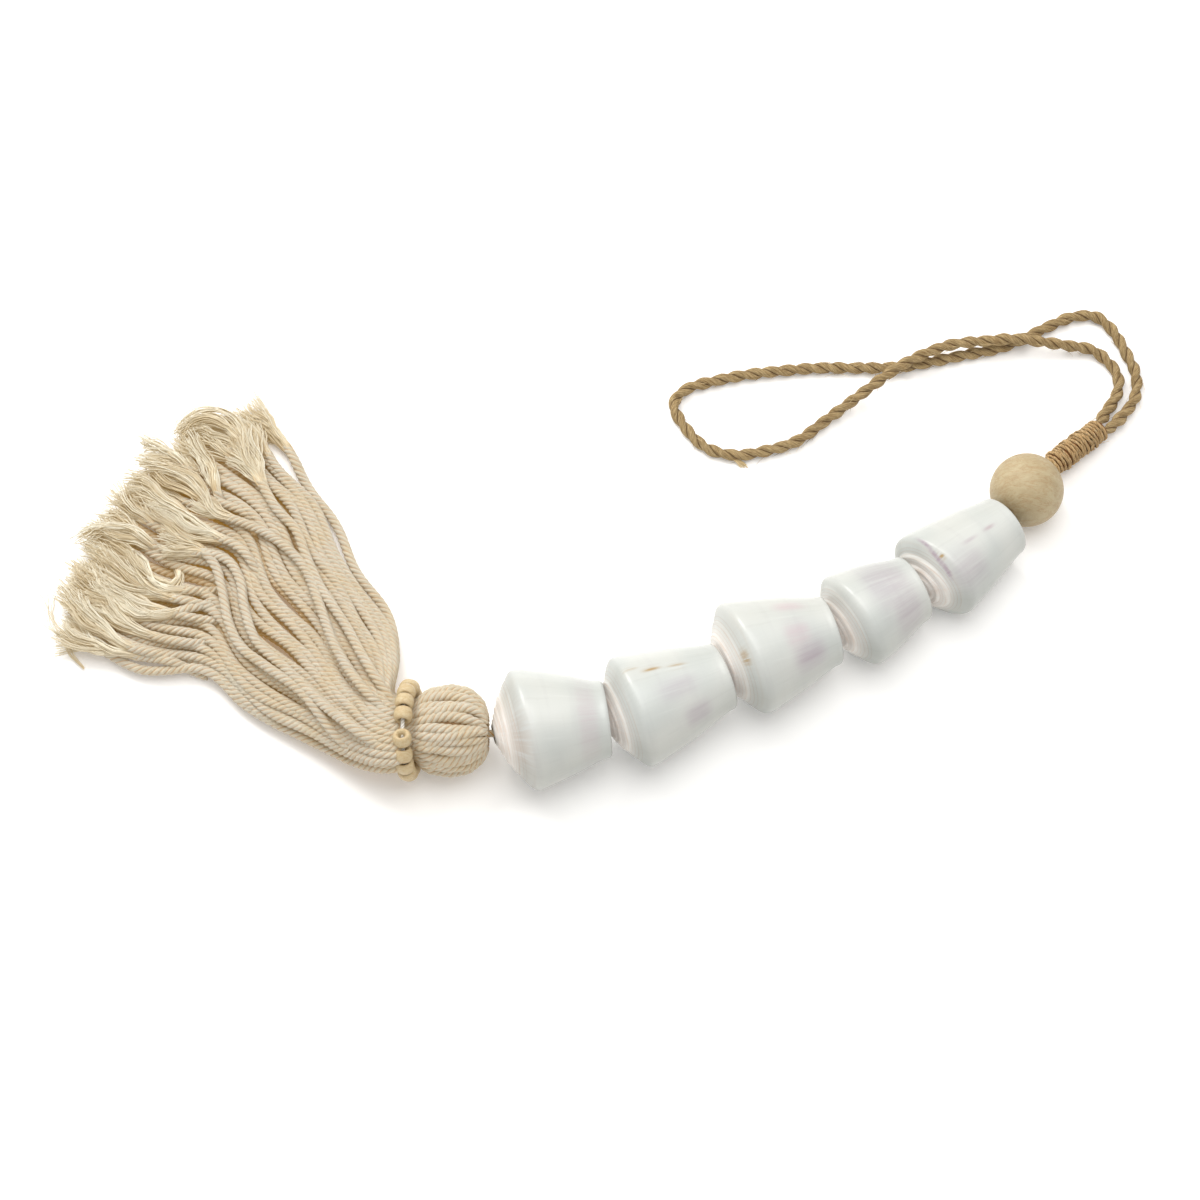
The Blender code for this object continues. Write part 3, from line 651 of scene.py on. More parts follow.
class Guide:
    """Centreline of a cord in millimetres, with the thickness, twist and shade along it."""

    def __init__(self, points, radius, pitch=0.0, hand=1.0, start=0.0, shade=0.0, low=0.0):
        self.points = np.asarray(points, float)
        count = len(self.points)
        self.thick = np.broadcast_to(np.asarray(radius, float), (count,)) * MM
        self.run = run_along(self.points)
        turns = self.run / pitch if pitch else np.zeros(count)
        self.twist = start + hand * 2 * math.pi * turns
        self.shade = np.full(count, shade)
        self.low = np.full(count, low)


def lay_cords(name, guides, lay, finish):
    """Cords of one kind along their guides, as one mesh."""
    points = np.vstack([guide.points for guide in guides])
    edges = []
    base = 0
    for guide in guides:
        count = len(guide.points)
        edges += [(base + k, base + k + 1) for k in range(count - 1)]
        base += count
    numbers = {label: np.concatenate([getattr(guide, label) for guide in guides])
               for label in ("thick", "twist", "run", "shade", "low")}
    tree = bpy.data.node_groups.get("twisted_cord") or twisted_cord_tree()
    sides, plies, depth = lay
    return apply_tree(show(make_mesh(name, points, [], edges, numbers)), tree,
                      sides=sides, plies=float(plies), seam_depth=depth, finish=finish)


# ---------------------------------------------------------------- finishes

def cotton_finish(colours, name="cotton", seam=1.0):
    """Cream cotton: soft plies, fine fibres along them, painted warm shade in the seams and on the lower
    ropes, and a warm painted light over all.
    """
    made = Finish(name, roughness=0.88, sheen_weight=0.25, specular_ior_level=0.25, emission_strength=1.0)
    crown, shade, low = made.attributes("crown", "shade", "low")
    fibre = made.noise(made.lane(5.0, 0.12, shade * 9.0), 2.2, detail=4.0, roughness=0.65)
    cloud = made.noise(made.place(), 0.09, detail=2.0)
    fair = made.blend(cloud.ease(0.35, 0.65), colours.cotton, colours.cotton_warm)
    streaked = made.multiply((1.0 - fibre).ease(0.45, 0.75) * 0.30, fair, tone(222, 198, 160))
    # painted shade: warm brown in the seams between the plies, scaled by seam
    seam_shade = (1.0 - crown).ease(0.45, 1.0) * seam
    # painted shade: ropes of the lower layers, marked by low, are darkened
    streaked = made.multiply(low * 0.6, streaked, tone(226, 210, 184))
    made.give("Base Color", made.blend(seam_shade * 0.58, streaked, colours.cotton_seam_shade))
    # painted light: a warm emission lifts the cotton's shade, more in the seams and on the lower layers
    painted_glow = made.blend(low.higher(seam_shade * 0.32), (0.044, 0.022, 0.002), (0.175, 0.084, 0.004))
    made.give("Emission Color", painted_glow)
    made.relief(fibre + crown * 0.3, 0.0005)
    return made.material


def thread_finish():
    """Loose cotton fibres of the frayed ends, with a warm painted light in their shade and painted shade at
    their roots.
    """
    # painted light: the fixed warm emission lifts the threads' shade
    made = Finish("cotton_thread", roughness=0.9, sheen_weight=0.2, specular_ior_level=0.2,
                  emission_strength=1.0, emission_color=(0.082, 0.050, 0.014, 1.0))
    shade, run = made.attributes("shade", "run")
    fair = made.blend(shade.ease(-1.0, 1.0), tone(201, 187, 157), tone(230, 228, 214))
    # painted shade: threads darken towards their root
    made.give("Base Color", made.multiply((1.0 - run.ease(0.0, 8.0)) * 0.4, fair, tone(230, 202, 156)))
    return made.material


def seagrass_finish(colours):
    """Khaki grass rope: hairy plies of dry fibre, with painted shade where the plies meet."""
    made = Finish("seagrass", roughness=0.82, specular_ior_level=0.3)
    lane = made.lane(3.0, 0.16)
    fibre = made.noise(lane, 2.6, detail=5.0, roughness=0.72)
    coarse = made.noise(lane, 1.0, detail=2.0)
    light = made.blend(fibre.ease(0.34, 0.66), colours.rope_dark, colours.rope_light)
    mixed = made.multiply(coarse.ease(0.35, 0.7) * 0.4, light, tone(206, 180, 138))
    # painted shade: dark brown where the plies meet
    seam_shade = (1.0 - made.attribute("crown")).ease(0.62, 1.0)
    made.give("Base Color", made.blend(seam_shade * 0.8, mixed, tone(88, 64, 38)))
    made.relief(fibre + coarse * 0.6, 0.0009)
    return made.material


def hair_finish(colours):
    """Stray fibres of the grass rope."""
    made = Finish("seagrass_hair", roughness=0.8)
    shade = made.attribute("shade")
    made.give("Base Color", made.blend(shade.ease(-1.0, 1.0), colours.rope_dark, colours.rope_light))
    return made.material


def raffia_finish(colours):
    """Tan orange raffia of the whipping, streaked along its length, with painted shade between its plies."""
    made = Finish("raffia", roughness=0.6, specular_ior_level=0.4)
    fibre = made.noise(made.lane(4.0, 0.12), 1.8, detail=4.0, roughness=0.75)
    body = made.blend(fibre.ease(0.34, 0.56), colours.raffia_dark, colours.raffia)
    cloud = made.noise(made.place(), 0.5, detail=2.0)
    body = made.blend(cloud.ease(0.5, 0.7) * 0.5, body, tone(246, 222, 176))
    # painted shade: dark brown where the plies meet
    seam_shade = (1.0 - made.attribute("crown")).ease(0.6, 1.0)
    made.give("Base Color", made.blend(seam_shade * 0.55, body, tone(146, 98, 48)))
    made.relief(fibre, 0.0009)
    return made.material


def string_finish(colours):
    """White string, with painted shade in the seams between its plies."""
    made = Finish("string", roughness=0.8, sheen_weight=0.2)
    crown = made.attribute("crown")
    # painted shade: greyer in the seams between the plies
    made.give("Base Color", made.blend(crown.ease(0.2, 0.8), tone(186, 178, 162), colours.string))
    return made.material


def bead_wood_finish(name, pale, dark, gloss, grain_scale):
    """Turned wood with a faint grain."""
    made = Finish(name, roughness=gloss, specular_ior_level=0.4)
    place = made.place()
    x, y, z = made.parts(place)
    grain = made.noise(made.vector(x * 0.6, y, z * 0.7), grain_scale,
                       detail=5.0, roughness=0.62, distortion=0.8)
    spots = made.noise(place, grain_scale * 5.0, detail=4.0, roughness=0.7)
    body = made.blend(grain.ease(0.3, 0.7), dark, pale)
    flecked = made.multiply(spots.ease(0.5, 0.8) * 0.35, body, tone(198, 172, 134))
    streak = made.noise(made.vector(x * 0.35, y * 1.3, z * 0.5), grain_scale * 1.4,
                        detail=4.0, distortion=1.6)
    rust = (1.0 - ((streak - 0.56) * 16.0).size()).higher(0.0)
    made.give("Base Color", made.multiply(rust * 0.35, flecked, tone(222, 178, 136)))
    made.relief(grain + spots * 0.5, 0.00025)
    return made.material


def shell_finish(colours):
    """Cone shell: glossy porcelain white with growth lines, sutures and stains; painted shade inside its
    opening, in its slit, on its lower sides and its far side, and a pale painted light on the spire's ramp.
    """
    made = Finish("shell", roughness=0.30, coat_weight=0.22, coat_roughness=0.16, specular_ior_level=0.38,
                  emission_strength=1.0)
    x, y, s = made.parts(made.attribute("lay", out="Vector"))
    purple, rose, rust, suture, ramp, deep = made.attributes(*STAINS, "suture", "ramp", "deep")
    lines = made.noise(made.vector(x * 7.0, y * 7.0, s * 0.8), 2.2, detail=4.0, roughness=0.6)
    bands = made.noise(made.vector(x * 0.5, y * 0.5, s * 9.0), 1.2, detail=2.0, roughness=0.5)
    cloud = made.noise(made.place(), 0.04, detail=1.0)
    base = made.blend(cloud.ease(0.35, 0.65), colours.shell, colours.shell_cool)
    base = made.multiply(lines.ease(0.50, 0.80) * 0.20, base, tone(222, 222, 220))
    base = made.multiply(bands.ease(0.48, 0.66) * 0.08, base, tone(226, 220, 228))
    base = made.blend((1.0 - lines).ease(0.58, 0.80) * 0.25, base, tone(218, 220, 217))
    streak = lines.ease(0.30, 0.62)
    for stain, colour in ((purple, colours.shell_purple), (rose, colours.shell_rose)):
        base = made.blend((stain * (0.55 + streak * 0.45)).lower(0.8), base, colour)
    base = made.blend((rust * lines.ease(0.36, 0.56)).lower(0.85), base, colours.shell_rust)
    warm = (1.0 - s).ease(0.16, 0.60)
    spire = made.blend(lines.ease(0.35, 0.65), tone(214, 206, 199), tone(218, 217, 215))
    base = made.blend(ramp * warm * 0.8, base, spire)
    rings = (((s * 17.0).rest_of() - 0.5).size() * 2.0).ease(0.72, 1.0) * ramp * (1.0 - s).ease(0.13, 0.20)
    base = made.blend(rings * 0.40, base, tone(176, 146, 122))
    base = made.blend(suture * (0.10 + warm * 0.36), base, tone(176, 142, 110))
    # painted shade: darker inside the opening and in the slit
    base = made.blend(deep, base, tone(170, 156, 138))
    # painted shade: the shell darkens away from its top and towards its far side, as the light falls
    painted_shade = ((1.0 - y.ease(0.15, 0.98)) * 0.7).higher(x.ease(-0.2, 0.5) * 0.35)
    made.give("Base Color", made.multiply(painted_shade, base, tone(212, 211, 206)))
    # painted light: a pale emission on the spire's ramp lifts the shade between the shells, standing in for
    # light through the shell
    painted_glow = made.blend(ramp * (1.0 - s).ease(0.18, 0.50), (0.0, 0.0, 0.0), (0.222, 0.205, 0.190))
    made.give("Emission Color", painted_glow)
    made.give("Roughness", 0.29 + ramp * 0.12 + lines * 0.1)
    made.relief(lines, 0.00006)
    return made.material


def table_finish():
    """Matt white table top."""
    made = Finish("table_top", roughness=0.9, specular_ior_level=0.1, emission_strength=0.11)
    made.give("Emission Color", (1.0, 1.0, 1.0, 1.0))
    cloud = made.noise(made.place(), 0.004)
    made.give("Base Color", made.blend(cloud, tone(252, 252, 252), tone(250, 250, 250)))
    return made.material


# ---------------------------------------------------------------- sizes and colours

class TasselSizes(PropertyGroup):
    """Sizes of the tassel's cords."""

    strand_radius: FloatProperty(name="Strand radius", description="Half thickness of a cotton strand",
                                 default=2.1 * MM, min=0.5 * MM, unit="LENGTH")
    strand_pitch: FloatProperty(name="Strand twist", description="Length of one full twist of a strand",
                                default=10.4 * MM, min=2 * MM, unit="LENGTH")
    rope_pitch: FloatProperty(name="Rope twist", description="Length of one full twist of the loop's rope",
                              default=14.5 * MM, min=4 * MM, unit="LENGTH")
    threads: IntProperty(name="Threads", description="Loose threads at the end of a strand",
                         default=78, min=4)
    wraps: IntProperty(name="Wraps", description="Turns of raffia in the whipping", default=17, min=3)
    head_ropes: IntProperty(name="Head ropes", description="Ropes round the tassel's head", default=30, min=8)


def colour_setting(name, description, *display):
    """A colour property from the values a display shows."""
    return FloatVectorProperty(name=name, description=description, subtype="COLOR", default=tone(*display))


class TasselColours(PropertyGroup):
    """Colours of the tassel's finishes."""

    cotton: colour_setting("Cotton", "Cream of the cotton", 208, 202, 185)
    cotton_warm: colour_setting("Warm cotton", "Warmer cotton patches", 207, 197, 173)
    # painted shade: the warm brown of the cotton's seams between plies
    cotton_seam_shade: colour_setting("Cotton seams", "Colour between plies", 176, 122, 64)
    rope_light: colour_setting("Light grass", "Light fibres of the rope", 214, 190, 143)
    rope_dark: colour_setting("Dark grass", "Dark fibres of the rope", 134, 107, 68)
    raffia: colour_setting("Raffia", "Light raffia", 242, 206, 150)
    raffia_dark: colour_setting("Dark raffia", "Dark streaks of the raffia", 188, 138, 78)
    string: colour_setting("String", "White string", 228, 226, 220)
    bead: colour_setting("Wood bead", "Pale wood of the large bead", 181, 167, 134)
    bead_dark: colour_setting("Wood bead grain", "Grain of the large bead", 170, 152, 118)
    small_bead: colour_setting("Small beads", "Wood of the neck beads", 204, 188, 152)
    small_bead_dark: colour_setting("Small bead grain", "Grain of the neck beads", 190, 168, 127)
    shell: colour_setting("Shell", "White of the shells", 204, 206, 202)
    shell_cool: colour_setting("Cool shell", "Cool clouds of the shells", 195, 199, 196)
    shell_purple: colour_setting("Purple stain", "Purple stains", 158, 142, 158)
    shell_rose: colour_setting("Rose stain", "Rose stains", 204, 176, 184)
    shell_rust: colour_setting("Rust stain", "Rust brown stains", 166, 132, 72)


# ---------------------------------------------------------------- shells

def shell_outline(radius, length, narrow):
    """Rows of a shell's outline: along, radius, run (0 at the tip, 2 at the narrow end), and painted shade
    inside the opening, more the further in.
    """
    k = radius / 24.5
    spire = curve(((-12.4 * k, BORE_R), (-11.2 * k, 6.2 * k), (-8.6 * k, 12.6 * k), (-4.8 * k, 18.6 * k),
                   (-1.3, radius - 1.0), (-0.4, radius - 0.25)), 0.55)
    cone = curve(((0.3, radius), (2.2, radius - 0.05), (0.25 * length, 0.74 * radius + 0.26 * narrow + 0.7),
                  (0.55 * length, 0.42 * radius + 0.58 * narrow + 0.7), (length - 3.5, narrow + 0.3),
                  (length - 0.7, narrow - 0.1), (length, narrow - 0.8)), 0.7)
    inner = curve(((length, narrow - 1.6), (length - 1.0, narrow - 2.4), (length - 8.0, narrow - 4.0),
                   (length - 15.0, BORE_R)), 1.2)
    rows = [(along, out, out / radius, 0.0) for along, out in spire]
    rows += [(along, out, 1.0 + along / length, 0.0) for along, out in cone]
    rows += [(along, out, 2.0, min(1.0, 0.35 + 0.14 * k)) for k, (along, out) in enumerate(inner)]
    return rows


def seen_point(points, u, v):
    """The nearest of the points that show at a place of the layout."""
    start = spot(u, v, 60.0)
    aim = unit(spot(u, v, 0.0) - start)
    down = (points - start) @ aim
    apart = np.sqrt(np.maximum(((points - start) ** 2).sum(axis=1) - down ** 2, 0.0))
    return points[np.argmin(down + np.where(apart < 1.6, 0.0, 1000.0 * apart))]


def shell_mesh(number, row):
    """A cone shell with a stepped spiral top, a leaning shoulder and a slit along its underside."""
    sx, sy, radius, nx, ny, nz, narrow, lean = row
    start = np.array((sx, sy, radius))
    end = np.array((nx, ny, nz))
    length = np.linalg.norm(end - start)
    axis = (end - start) / length
    side, rise = axis_frame(axis)
    turns = full_turn(SHELL_SIDES)
    lay = []
    rings = []
    marks = {"suture": [], "ramp": [], "deep": []}
    phase = 0.37 * number
    for along, out, s, deep in shell_outline(radius, length, narrow):
        fade = max(0.0, 1.0 - max(0.0, along) / (0.6 * length))
        slip = math.tan(math.radians(lean) * fade)
        step = np.zeros(SHELL_SIDES)
        line = np.zeros(SHELL_SIDES)
        ramp = 0.0
        if s < 0.995:
            whorl = (np.log(max(s, 0.05)) / math.log(WHORL) - turns / (2 * np.pi) + phase) % 1.0
            ramp = float(smooth((0.995 - s) / 0.04)) * float(smooth((s - 0.15) / 0.1))
            saw = np.where(whorl < WHORL_CLIMB, whorl / WHORL_CLIMB, (1.0 - whorl) / WHORL_FALL) - 0.5
            near = np.minimum(whorl, 1.0 - whorl)
            line = np.exp(-(near / 0.05) ** 2) * ramp
            step = ramp * (0.12 + STEPPED[number - 1] * float(smooth((0.92 - s) / 0.3))) * saw
        slit = np.exp(-((np.angle(np.exp(1j * (turns - SLIT_TURN)))) / SLIT_WIDTH) ** 2)
        slit = slit * (1.0 if 1.04 < s < 1.97 else 0.0)
        reach = out - SLIT_DEPTH * slit
        across = reach * np.cos(turns)
        centre = start + np.outer(along + step - slip * across, axis)
        rings.append(round_ring(centre, side, rise, reach, reach, turns))
        lay.append(np.stack((np.cos(turns), np.sin(turns), np.full(SHELL_SIDES, s)), axis=1))
        marks["suture"].append(line)
        marks["ramp"].append(np.full(SHELL_SIDES, ramp))
        # painted shade inside the opening and along the slit
        marks["deep"].append(np.maximum(deep, slit * 0.8))
    points, faces = skin(rings, closed_run=True)
    points = points - np.array((0.0, 0.0, points[:, 2].min() + WORN))
    points[:, 2] = np.maximum(points[:, 2], 0.0)
    numbers = {label: np.concatenate(rows) for label, rows in marks.items()}
    numbers.update({label: np.zeros(len(points)) for label in STAINS})
    for patch in SHELL_PATCHES:
        if patch[0] != number:
            continue
        off = points - seen_point(points, *patch[1:3])
        down = off @ axis
        wide = np.sqrt(np.maximum((off ** 2).sum(axis=1) - down ** 2, 0.0))
        mask = np.exp(-(down / patch[3]) ** 4 - (wide / patch[4]) ** 2)
        for label, amount in zip(STAINS, patch[5:]):
            numbers[label] = np.maximum(numbers[label], mask * amount)
    return make_mesh("cone_shell_%d" % number, points, faces,
                     numbers=numbers, vectors={"lay": np.vstack(lay)})


# ---------------------------------------------------------------- cord through the pieces

def whip_frame():
    """Start and end of the whipping, its axis, and the side and rise square to it."""
    start = np.array(WHIP_START)
    end = np.array(WHIP_END)
    axis = unit(end - start)
    return (start, end, axis, *axis_frame(axis))


def piece_way():
    """Way of the cord through the shells and the bead, as the frame has it."""
    way = []
    for number, (sx, sy, radius, nx, ny, nz, _, _) in enumerate(SHELLS, 1):
        start = np.array((sx, sy, radius * REST_SHARE))
        end = np.array((nx, ny, nz))
        length = np.linalg.norm(end - start)
        axis = (end - start) / length
        start = start - np.array((0.0, 0.0, WORN))
        way.append(start - axis * (11.0 if number > 1 else 4.0))
        way.append(start + axis * (length - 14.0))
    axis = bead_axis()
    at = np.array(BEAD_AT) - np.array((0.0, 0.0, WORN))
    return way + [at - axis * 13.0, at + axis * 13.0]


def bead_axis():
    """Direction of the wood bead's hole."""
    return np.array((math.cos(BEAD_HEADING) * math.cos(BEAD_SLOPE),
                     math.sin(BEAD_HEADING) * math.cos(BEAD_SLOPE), math.sin(BEAD_SLOPE)))


def cord_way():
    """The cord from the tassel's head to the whipping."""
    mouth = np.array(NECK_AT) + np.array((HEAD[-1][0], HEAD[-1][3], HEAD[-1][4]))
    start, _, along, _, _ = whip_frame()
    route = [mouth - np.array((SOCKET_DEPTH - 1.5, 0.0, 0.0)), mouth - np.array((1.0, 0.0, 0.0))]
    return route + piece_way() + [start - along * 1.5, start + along * 9.0]


# ---------------------------------------------------------------- rope loop

def rope_way(step):
    """Centreline of the loop, from one tail in the whipping round to the other."""
    _, end, axis, side, _ = whip_frame()
    left = side * TAIL_SIDE
    points = [end - axis * TAIL_DEPTH + left, end + left, end + left * 1.25 + axis * 2.0]
    points += [spot(u, v, z) for u, v, z in ROPE_ROUTE]
    points += [end - left * 1.25 + axis * 2.0, end - left, end - axis * TAIL_DEPTH - left]
    return curve(points, step)


def stray_fibres(path, number, start, longest, rng):
    """Guides of stray fibres that stand off a rope or a winding."""
    guides = []
    for _ in range(number):
        at = int(rng.integers(2, len(path) - 2))
        along = unit(path[at + 1] - path[at - 1]) * rng.choice((-1.0, 1.0))
        side, rise = axis_frame(along)
        turn = rng.uniform(0, 2 * math.pi)
        out = side * math.cos(turn) + rise * math.sin(turn)
        length = rng.uniform(0.3, 1.0) * longest
        lift = rng.uniform(0.15, 0.45)
        bend = rng.normal(0, 0.25)
        points = []
        for t in np.linspace(0, 1, 6):
            point = path[at] + out * (start + lift * length * t ** 1.5) + along * length * t
            point = point + np.cross(along, out) * bend * length * t * t
            point[2] = max(point[2], 0.15)
            points.append(point)
        guides.append(Guide(points, np.linspace(0.13, 0.05, 6), shade=rng.uniform(-1, 1)))
    return guides


# ---------------------------------------------------------------- whipping

def whip_section(t, inset):
    """Half width and half height at a share of the winding's length, less an inset."""
    return [first + (last - first) * t - inset + WHIP_FULLER * t for first, last in (WHIP_WIDE, WHIP_HIGH)]


def whip_guides(wraps):
    """Guides of the raffia: one long helix and a few crossing wraps."""
    start, end, axis, side, rise = whip_frame()
    length = np.linalg.norm(end - start)
    rng = np.random.default_rng(11)

    def around(t, turn, lift):
        near = max(0.0, 0.05 - t) * 14.0
        wide, high = [half + lift - near for half in whip_section(t, 0.45)]
        return start + axis * (length * t) + side * wide * math.cos(turn) + rise * high * math.sin(turn)

    total = wraps * WHIP_STEPS
    points = []
    for k in range(total + 1):
        t = -0.07 + 1.05 * k / total
        turn = 2 * math.pi * k / WHIP_STEPS
        drift = 0.009 * math.sin(turn * 0.37) + 0.005 * math.sin(turn * 0.83 + 1.0)
        points.append(around(t + drift, turn, 0.24 * math.sin(turn * 0.61) + 0.14 * math.sin(turn * 2.3)))
    steps = np.arange(total + 1)
    radii = 0.70 + 0.10 * np.sin(steps * 0.11) + 0.08 * np.sin(steps * 0.037)
    guides = [Guide(points, radii, WHIP_PITCH)]
    for first, last, offset in ((0.05, 0.45, 0.4), (0.30, 0.78, 2.2), (0.50, 0.95, 4.4)):
        points = [around(first + (last - first) * t, offset + 2 * math.pi * 1.5 * t,
                         0.55 * math.sin(math.pi * t) + 0.1) for t in np.linspace(0, 1, 40)]
        guides.append(Guide(points, 0.62 + 0.10 * rng.uniform(-1, 1), WHIP_PITCH))
    return guides


# ---------------------------------------------------------------- tassel

def fan_spot(place, ring, z):
    """Point at a place from 0 to 1 across the fan, on one of its rings and a level."""
    at = min(max(place, 0.0), 1.0) * (len(FAN) - 1)
    k = min(int(at), len(FAN) - 2)
    first = spot(*FAN[k][ring], z)
    second = spot(*FAN[k + 1][ring], z)
    return first + (second - first) * (at - k)


def spread(values, reach, pick):
    """Sliding pick (max or mean) over a reach of samples each way."""
    padded = np.pad(values, reach, mode="edge")
    return np.array([pick(padded[k:k + 2 * reach + 1]) for k in range(len(values))])


def strand_way(number, place, shares, ring_share):
    """Centreline of a skirt rope from inside the neck to its end in the fan."""
    side, rise = lean_frame(NECK_LEAN)
    turn = math.pi * (0.03 + 0.94 * place)
    upper = 1.0 if shares[2] > 0.5 else -1.0
    bulge = math.sqrt(max(0.0, 1.0 - (2.0 * place - 1.0) ** 2))
    points = []
    for along in (4.0, 0.0, -3.5):
        off = side * 10.6 * math.cos(turn) + rise * 10.0 * math.sin(turn) * upper
        points.append(np.array(NECK_AT) + np.array((along, 0.0, 0.0)) + off * ring_share)
    for ring, (low_side, low_middle, high_side, high_middle) in enumerate(RING_LEVELS):
        share = float(np.interp(ring, (0, 2, 4, 6), (shares[0], shares[1], shares[1], shares[2])))
        low = low_side + (low_middle - low_side) * bulge
        high = high_side + (high_middle - high_side) * bulge
        z = max(2.3, low + (high - low) * share + 1.1 * chance(number, ring + 20) * min(1.0, ring / 3.0))
        drift = 0.013 * chance(number, ring) * min(1.0, max(0.0, (ring - 1) / 3.0))
        inner = place if place < 0.01 else APART[ring] + (1.0 - APART[ring]) * place
        points.append(fan_spot(inner + drift, ring, z))
    points[3] = points[3] - np.array((1.5, 0.0, 0.0))
    reach = 0.04 * chance(number, 9) - 0.02
    points[-1] = points[-2] + (points[-1] - points[-2]) * (1.0 + 3.0 * reach)
    return np.array(points)


def lay_strands(radius):
    """Lay the skirt's ropes layer by layer, each with its thickness along it."""
    laid = []
    for place_a, place_b, neck, half_way, end, ring_share in LAYERS:
        for k in range(ROPES_A_LAYER):
            number = len(laid) + 1
            place = place_a + (place_b - place_a) * k / (ROPES_A_LAYER - 1)
            line = curve(strand_way(number, place, (neck, half_way, end), ring_share), ROPE_STEP)
            run = run_along(line)
            heading = np.gradient(line[:, :2], axis=0)
            heading = heading / np.linalg.norm(heading, axis=1)[:, None]
            swing = 1.3 * np.sin(2 * math.pi * run / 62.0 + 7.0 * place) + 0.4 * np.sin(run / 6.5 + number)
            swing = swing * smooth((run - 25.0) / 50.0)
            line[:, 0] -= heading[:, 1] * swing
            line[:, 1] += heading[:, 0] * swing
            reach = radius * (0.80 + 0.20 * smooth(run / 26.0)) * (1.0 + 0.05 * chance(number, 3))
            line[:, 2] = np.maximum(line[:, 2], reach)
            laid.append((line, reach))
    return laid


def fine_line(line, values, step):
    """Even samples along a line and a value that goes with it."""
    joined = curve(np.column_stack((line, values * 0.01)), step)
    return joined[:, :3], joined[:, 3] * 100.0


def strand_guides(sizes, laid):
    """Guides of all skirt ropes, and the line that each rope's frayed end follows."""
    guides = []
    ends = []
    for number, (line, reach) in enumerate(laid, 1):
        keep = len(line) - int((FRAY_LENGTH - 1.0 + 5.0 * chance(number, 5)) / ROPE_STEP)
        ends.append((line[keep - 2:], FRAY_WIDTH * (1.05 + 0.35 * chance(number, 11)), 0))
        guides.append(open_tip(line, reach, keep, number, sizes))
    return guides, ends


def open_tip(line, reach, keep, number, sizes):
    """A rope, thinning out over a few millimetres where its plies part."""
    tip = min(keep + 6, len(line))
    line = line[:tip]
    reach = reach[:tip].copy()
    reach[keep:] *= np.linspace(1.0, 0.40, tip - keep)
    pitch = sizes.strand_pitch / MM * (1.0 + 0.10 * chance(number, 6))
    layer, beside = divmod(number - 1, ROPES_A_LAYER)
    beside = min(beside, ROPES_A_LAYER - 1 - beside)
    # low marks the ropes of the lower, inner layers for the cotton's painted shade and warm painted light
    low = max(0.0, 1.0 - layer * 0.45) * float(smooth(beside / 3.0))
    return Guide(line, reach, pitch, -1.0, start=2.0 * chance(number, 7), shade=chance(number, 8), low=low)


def fray(line, width, leaf, count, radius, rng):
    """Guides of the loose threads that follow a line in wavy locks and spread out from it."""
    run = run_along(line)
    samples = max(9, int(run[-1] / 2.0))
    t = np.linspace(0.0, 1.0, samples)
    ahead = np.gradient(line, axis=0)
    ahead = ahead / np.linalg.norm(ahead, axis=1)[:, None]
    open_up = np.sin(math.pi * np.minimum(t * 1.06, 1.0)) ** 0.8 if leaf else t ** 1.1 * (1.25 - 0.25 * t)
    guides = []
    for lock in range(LOCKS):
        lock_turn = 2 * math.pi * (lock + rng.uniform(-0.3, 0.3)) / LOCKS
        lock_reach = (0.5 * ((lock + 0.5) / LOCKS * 2.0 - 1.0) + rng.normal(0, 0.12)) * width
        lock_lift = rng.uniform(-0.6, 1.8)
        lock_size = 1.0 + rng.uniform(-0.20, 0.07)
        lock_bend = rng.normal(0, 2.0)
        lock_shade = rng.uniform(-1, 1)
        sway = rng.uniform(0.5, 1.4)
        beat = rng.uniform(0.17, 0.32)
        wave = rng.uniform(0, 6.28)
        for k in range(count // LOCKS):
            length = run[-1] * lock_size * (1.0 + rng.uniform(-0.13, 0.06))
            first = rng.uniform(-0.04, 0.08)
            at = np.clip(first + (1.0 - first) * t, 0.0, 1.2) * length
            turn = rng.uniform(0, 2 * math.pi)
            out = math.sqrt(rng.uniform(0, 1)) * radius * (0.42 + 0.13 * width * t)
            crimp = rng.uniform(0.08, 0.28)
            points = np.stack([np.interp(at, run, line[:, c]) for c in range(3)], axis=1)
            way = np.stack([np.interp(at, run, ahead[:, c]) for c in range(3)], axis=1)
            points = points + way * np.maximum(at - run[-1], 0.0)[:, None]
            flat = way[:, :2] / np.linalg.norm(way[:, :2], axis=1)[:, None]
            grow = np.minimum(1.0, t * 2.5)
            swing = sway * np.sin(wave + at * beat) * grow
            curl = crimp * np.sin(wave * 3 + turn + at * 1.1) * grow
            if k % 9 == 0:
                curl = curl + rng.normal(0, 1.5) * t ** 2
            across = radius * 0.5 * math.cos(lock_turn) * (1 - 0.5 * t) + lock_reach * open_up
            across = across + out * math.cos(turn) + swing + curl + rng.normal(0, 0.5) * t ** 3
            across = across + lock_bend * t ** 2.5
            upward = radius * 0.5 * math.sin(lock_turn) * (1 - 0.5 * t) + lock_lift * open_up
            upward = upward + out * math.sin(turn) + 0.5 * np.roll(swing, 1) * grow + curl
            points[:, 0] -= flat[:, 1] * across
            points[:, 1] += flat[:, 0] * across
            points[:, 2] = np.maximum(points[:, 2] + upward, 0.2)
            shade = 0.6 * lock_shade + 0.4 * rng.uniform(-1, 1)
            guides.append(Guide(points, np.linspace(0.27, 0.16, samples), shade=shade))
    return guides


def pile_top(points, laid):
    """Height of the pile of ropes under each point."""
    top = np.zeros(len(points))
    for line, reach in laid:
        apart = np.linalg.norm(points[:, None, :2] - line[None, :, :2], axis=2)
        tops = np.where(apart < reach[None, :] + 1.4, (line[:, 2] + reach)[None, :], 0.0)
        top = np.maximum(top, tops.max(axis=1))
    return top


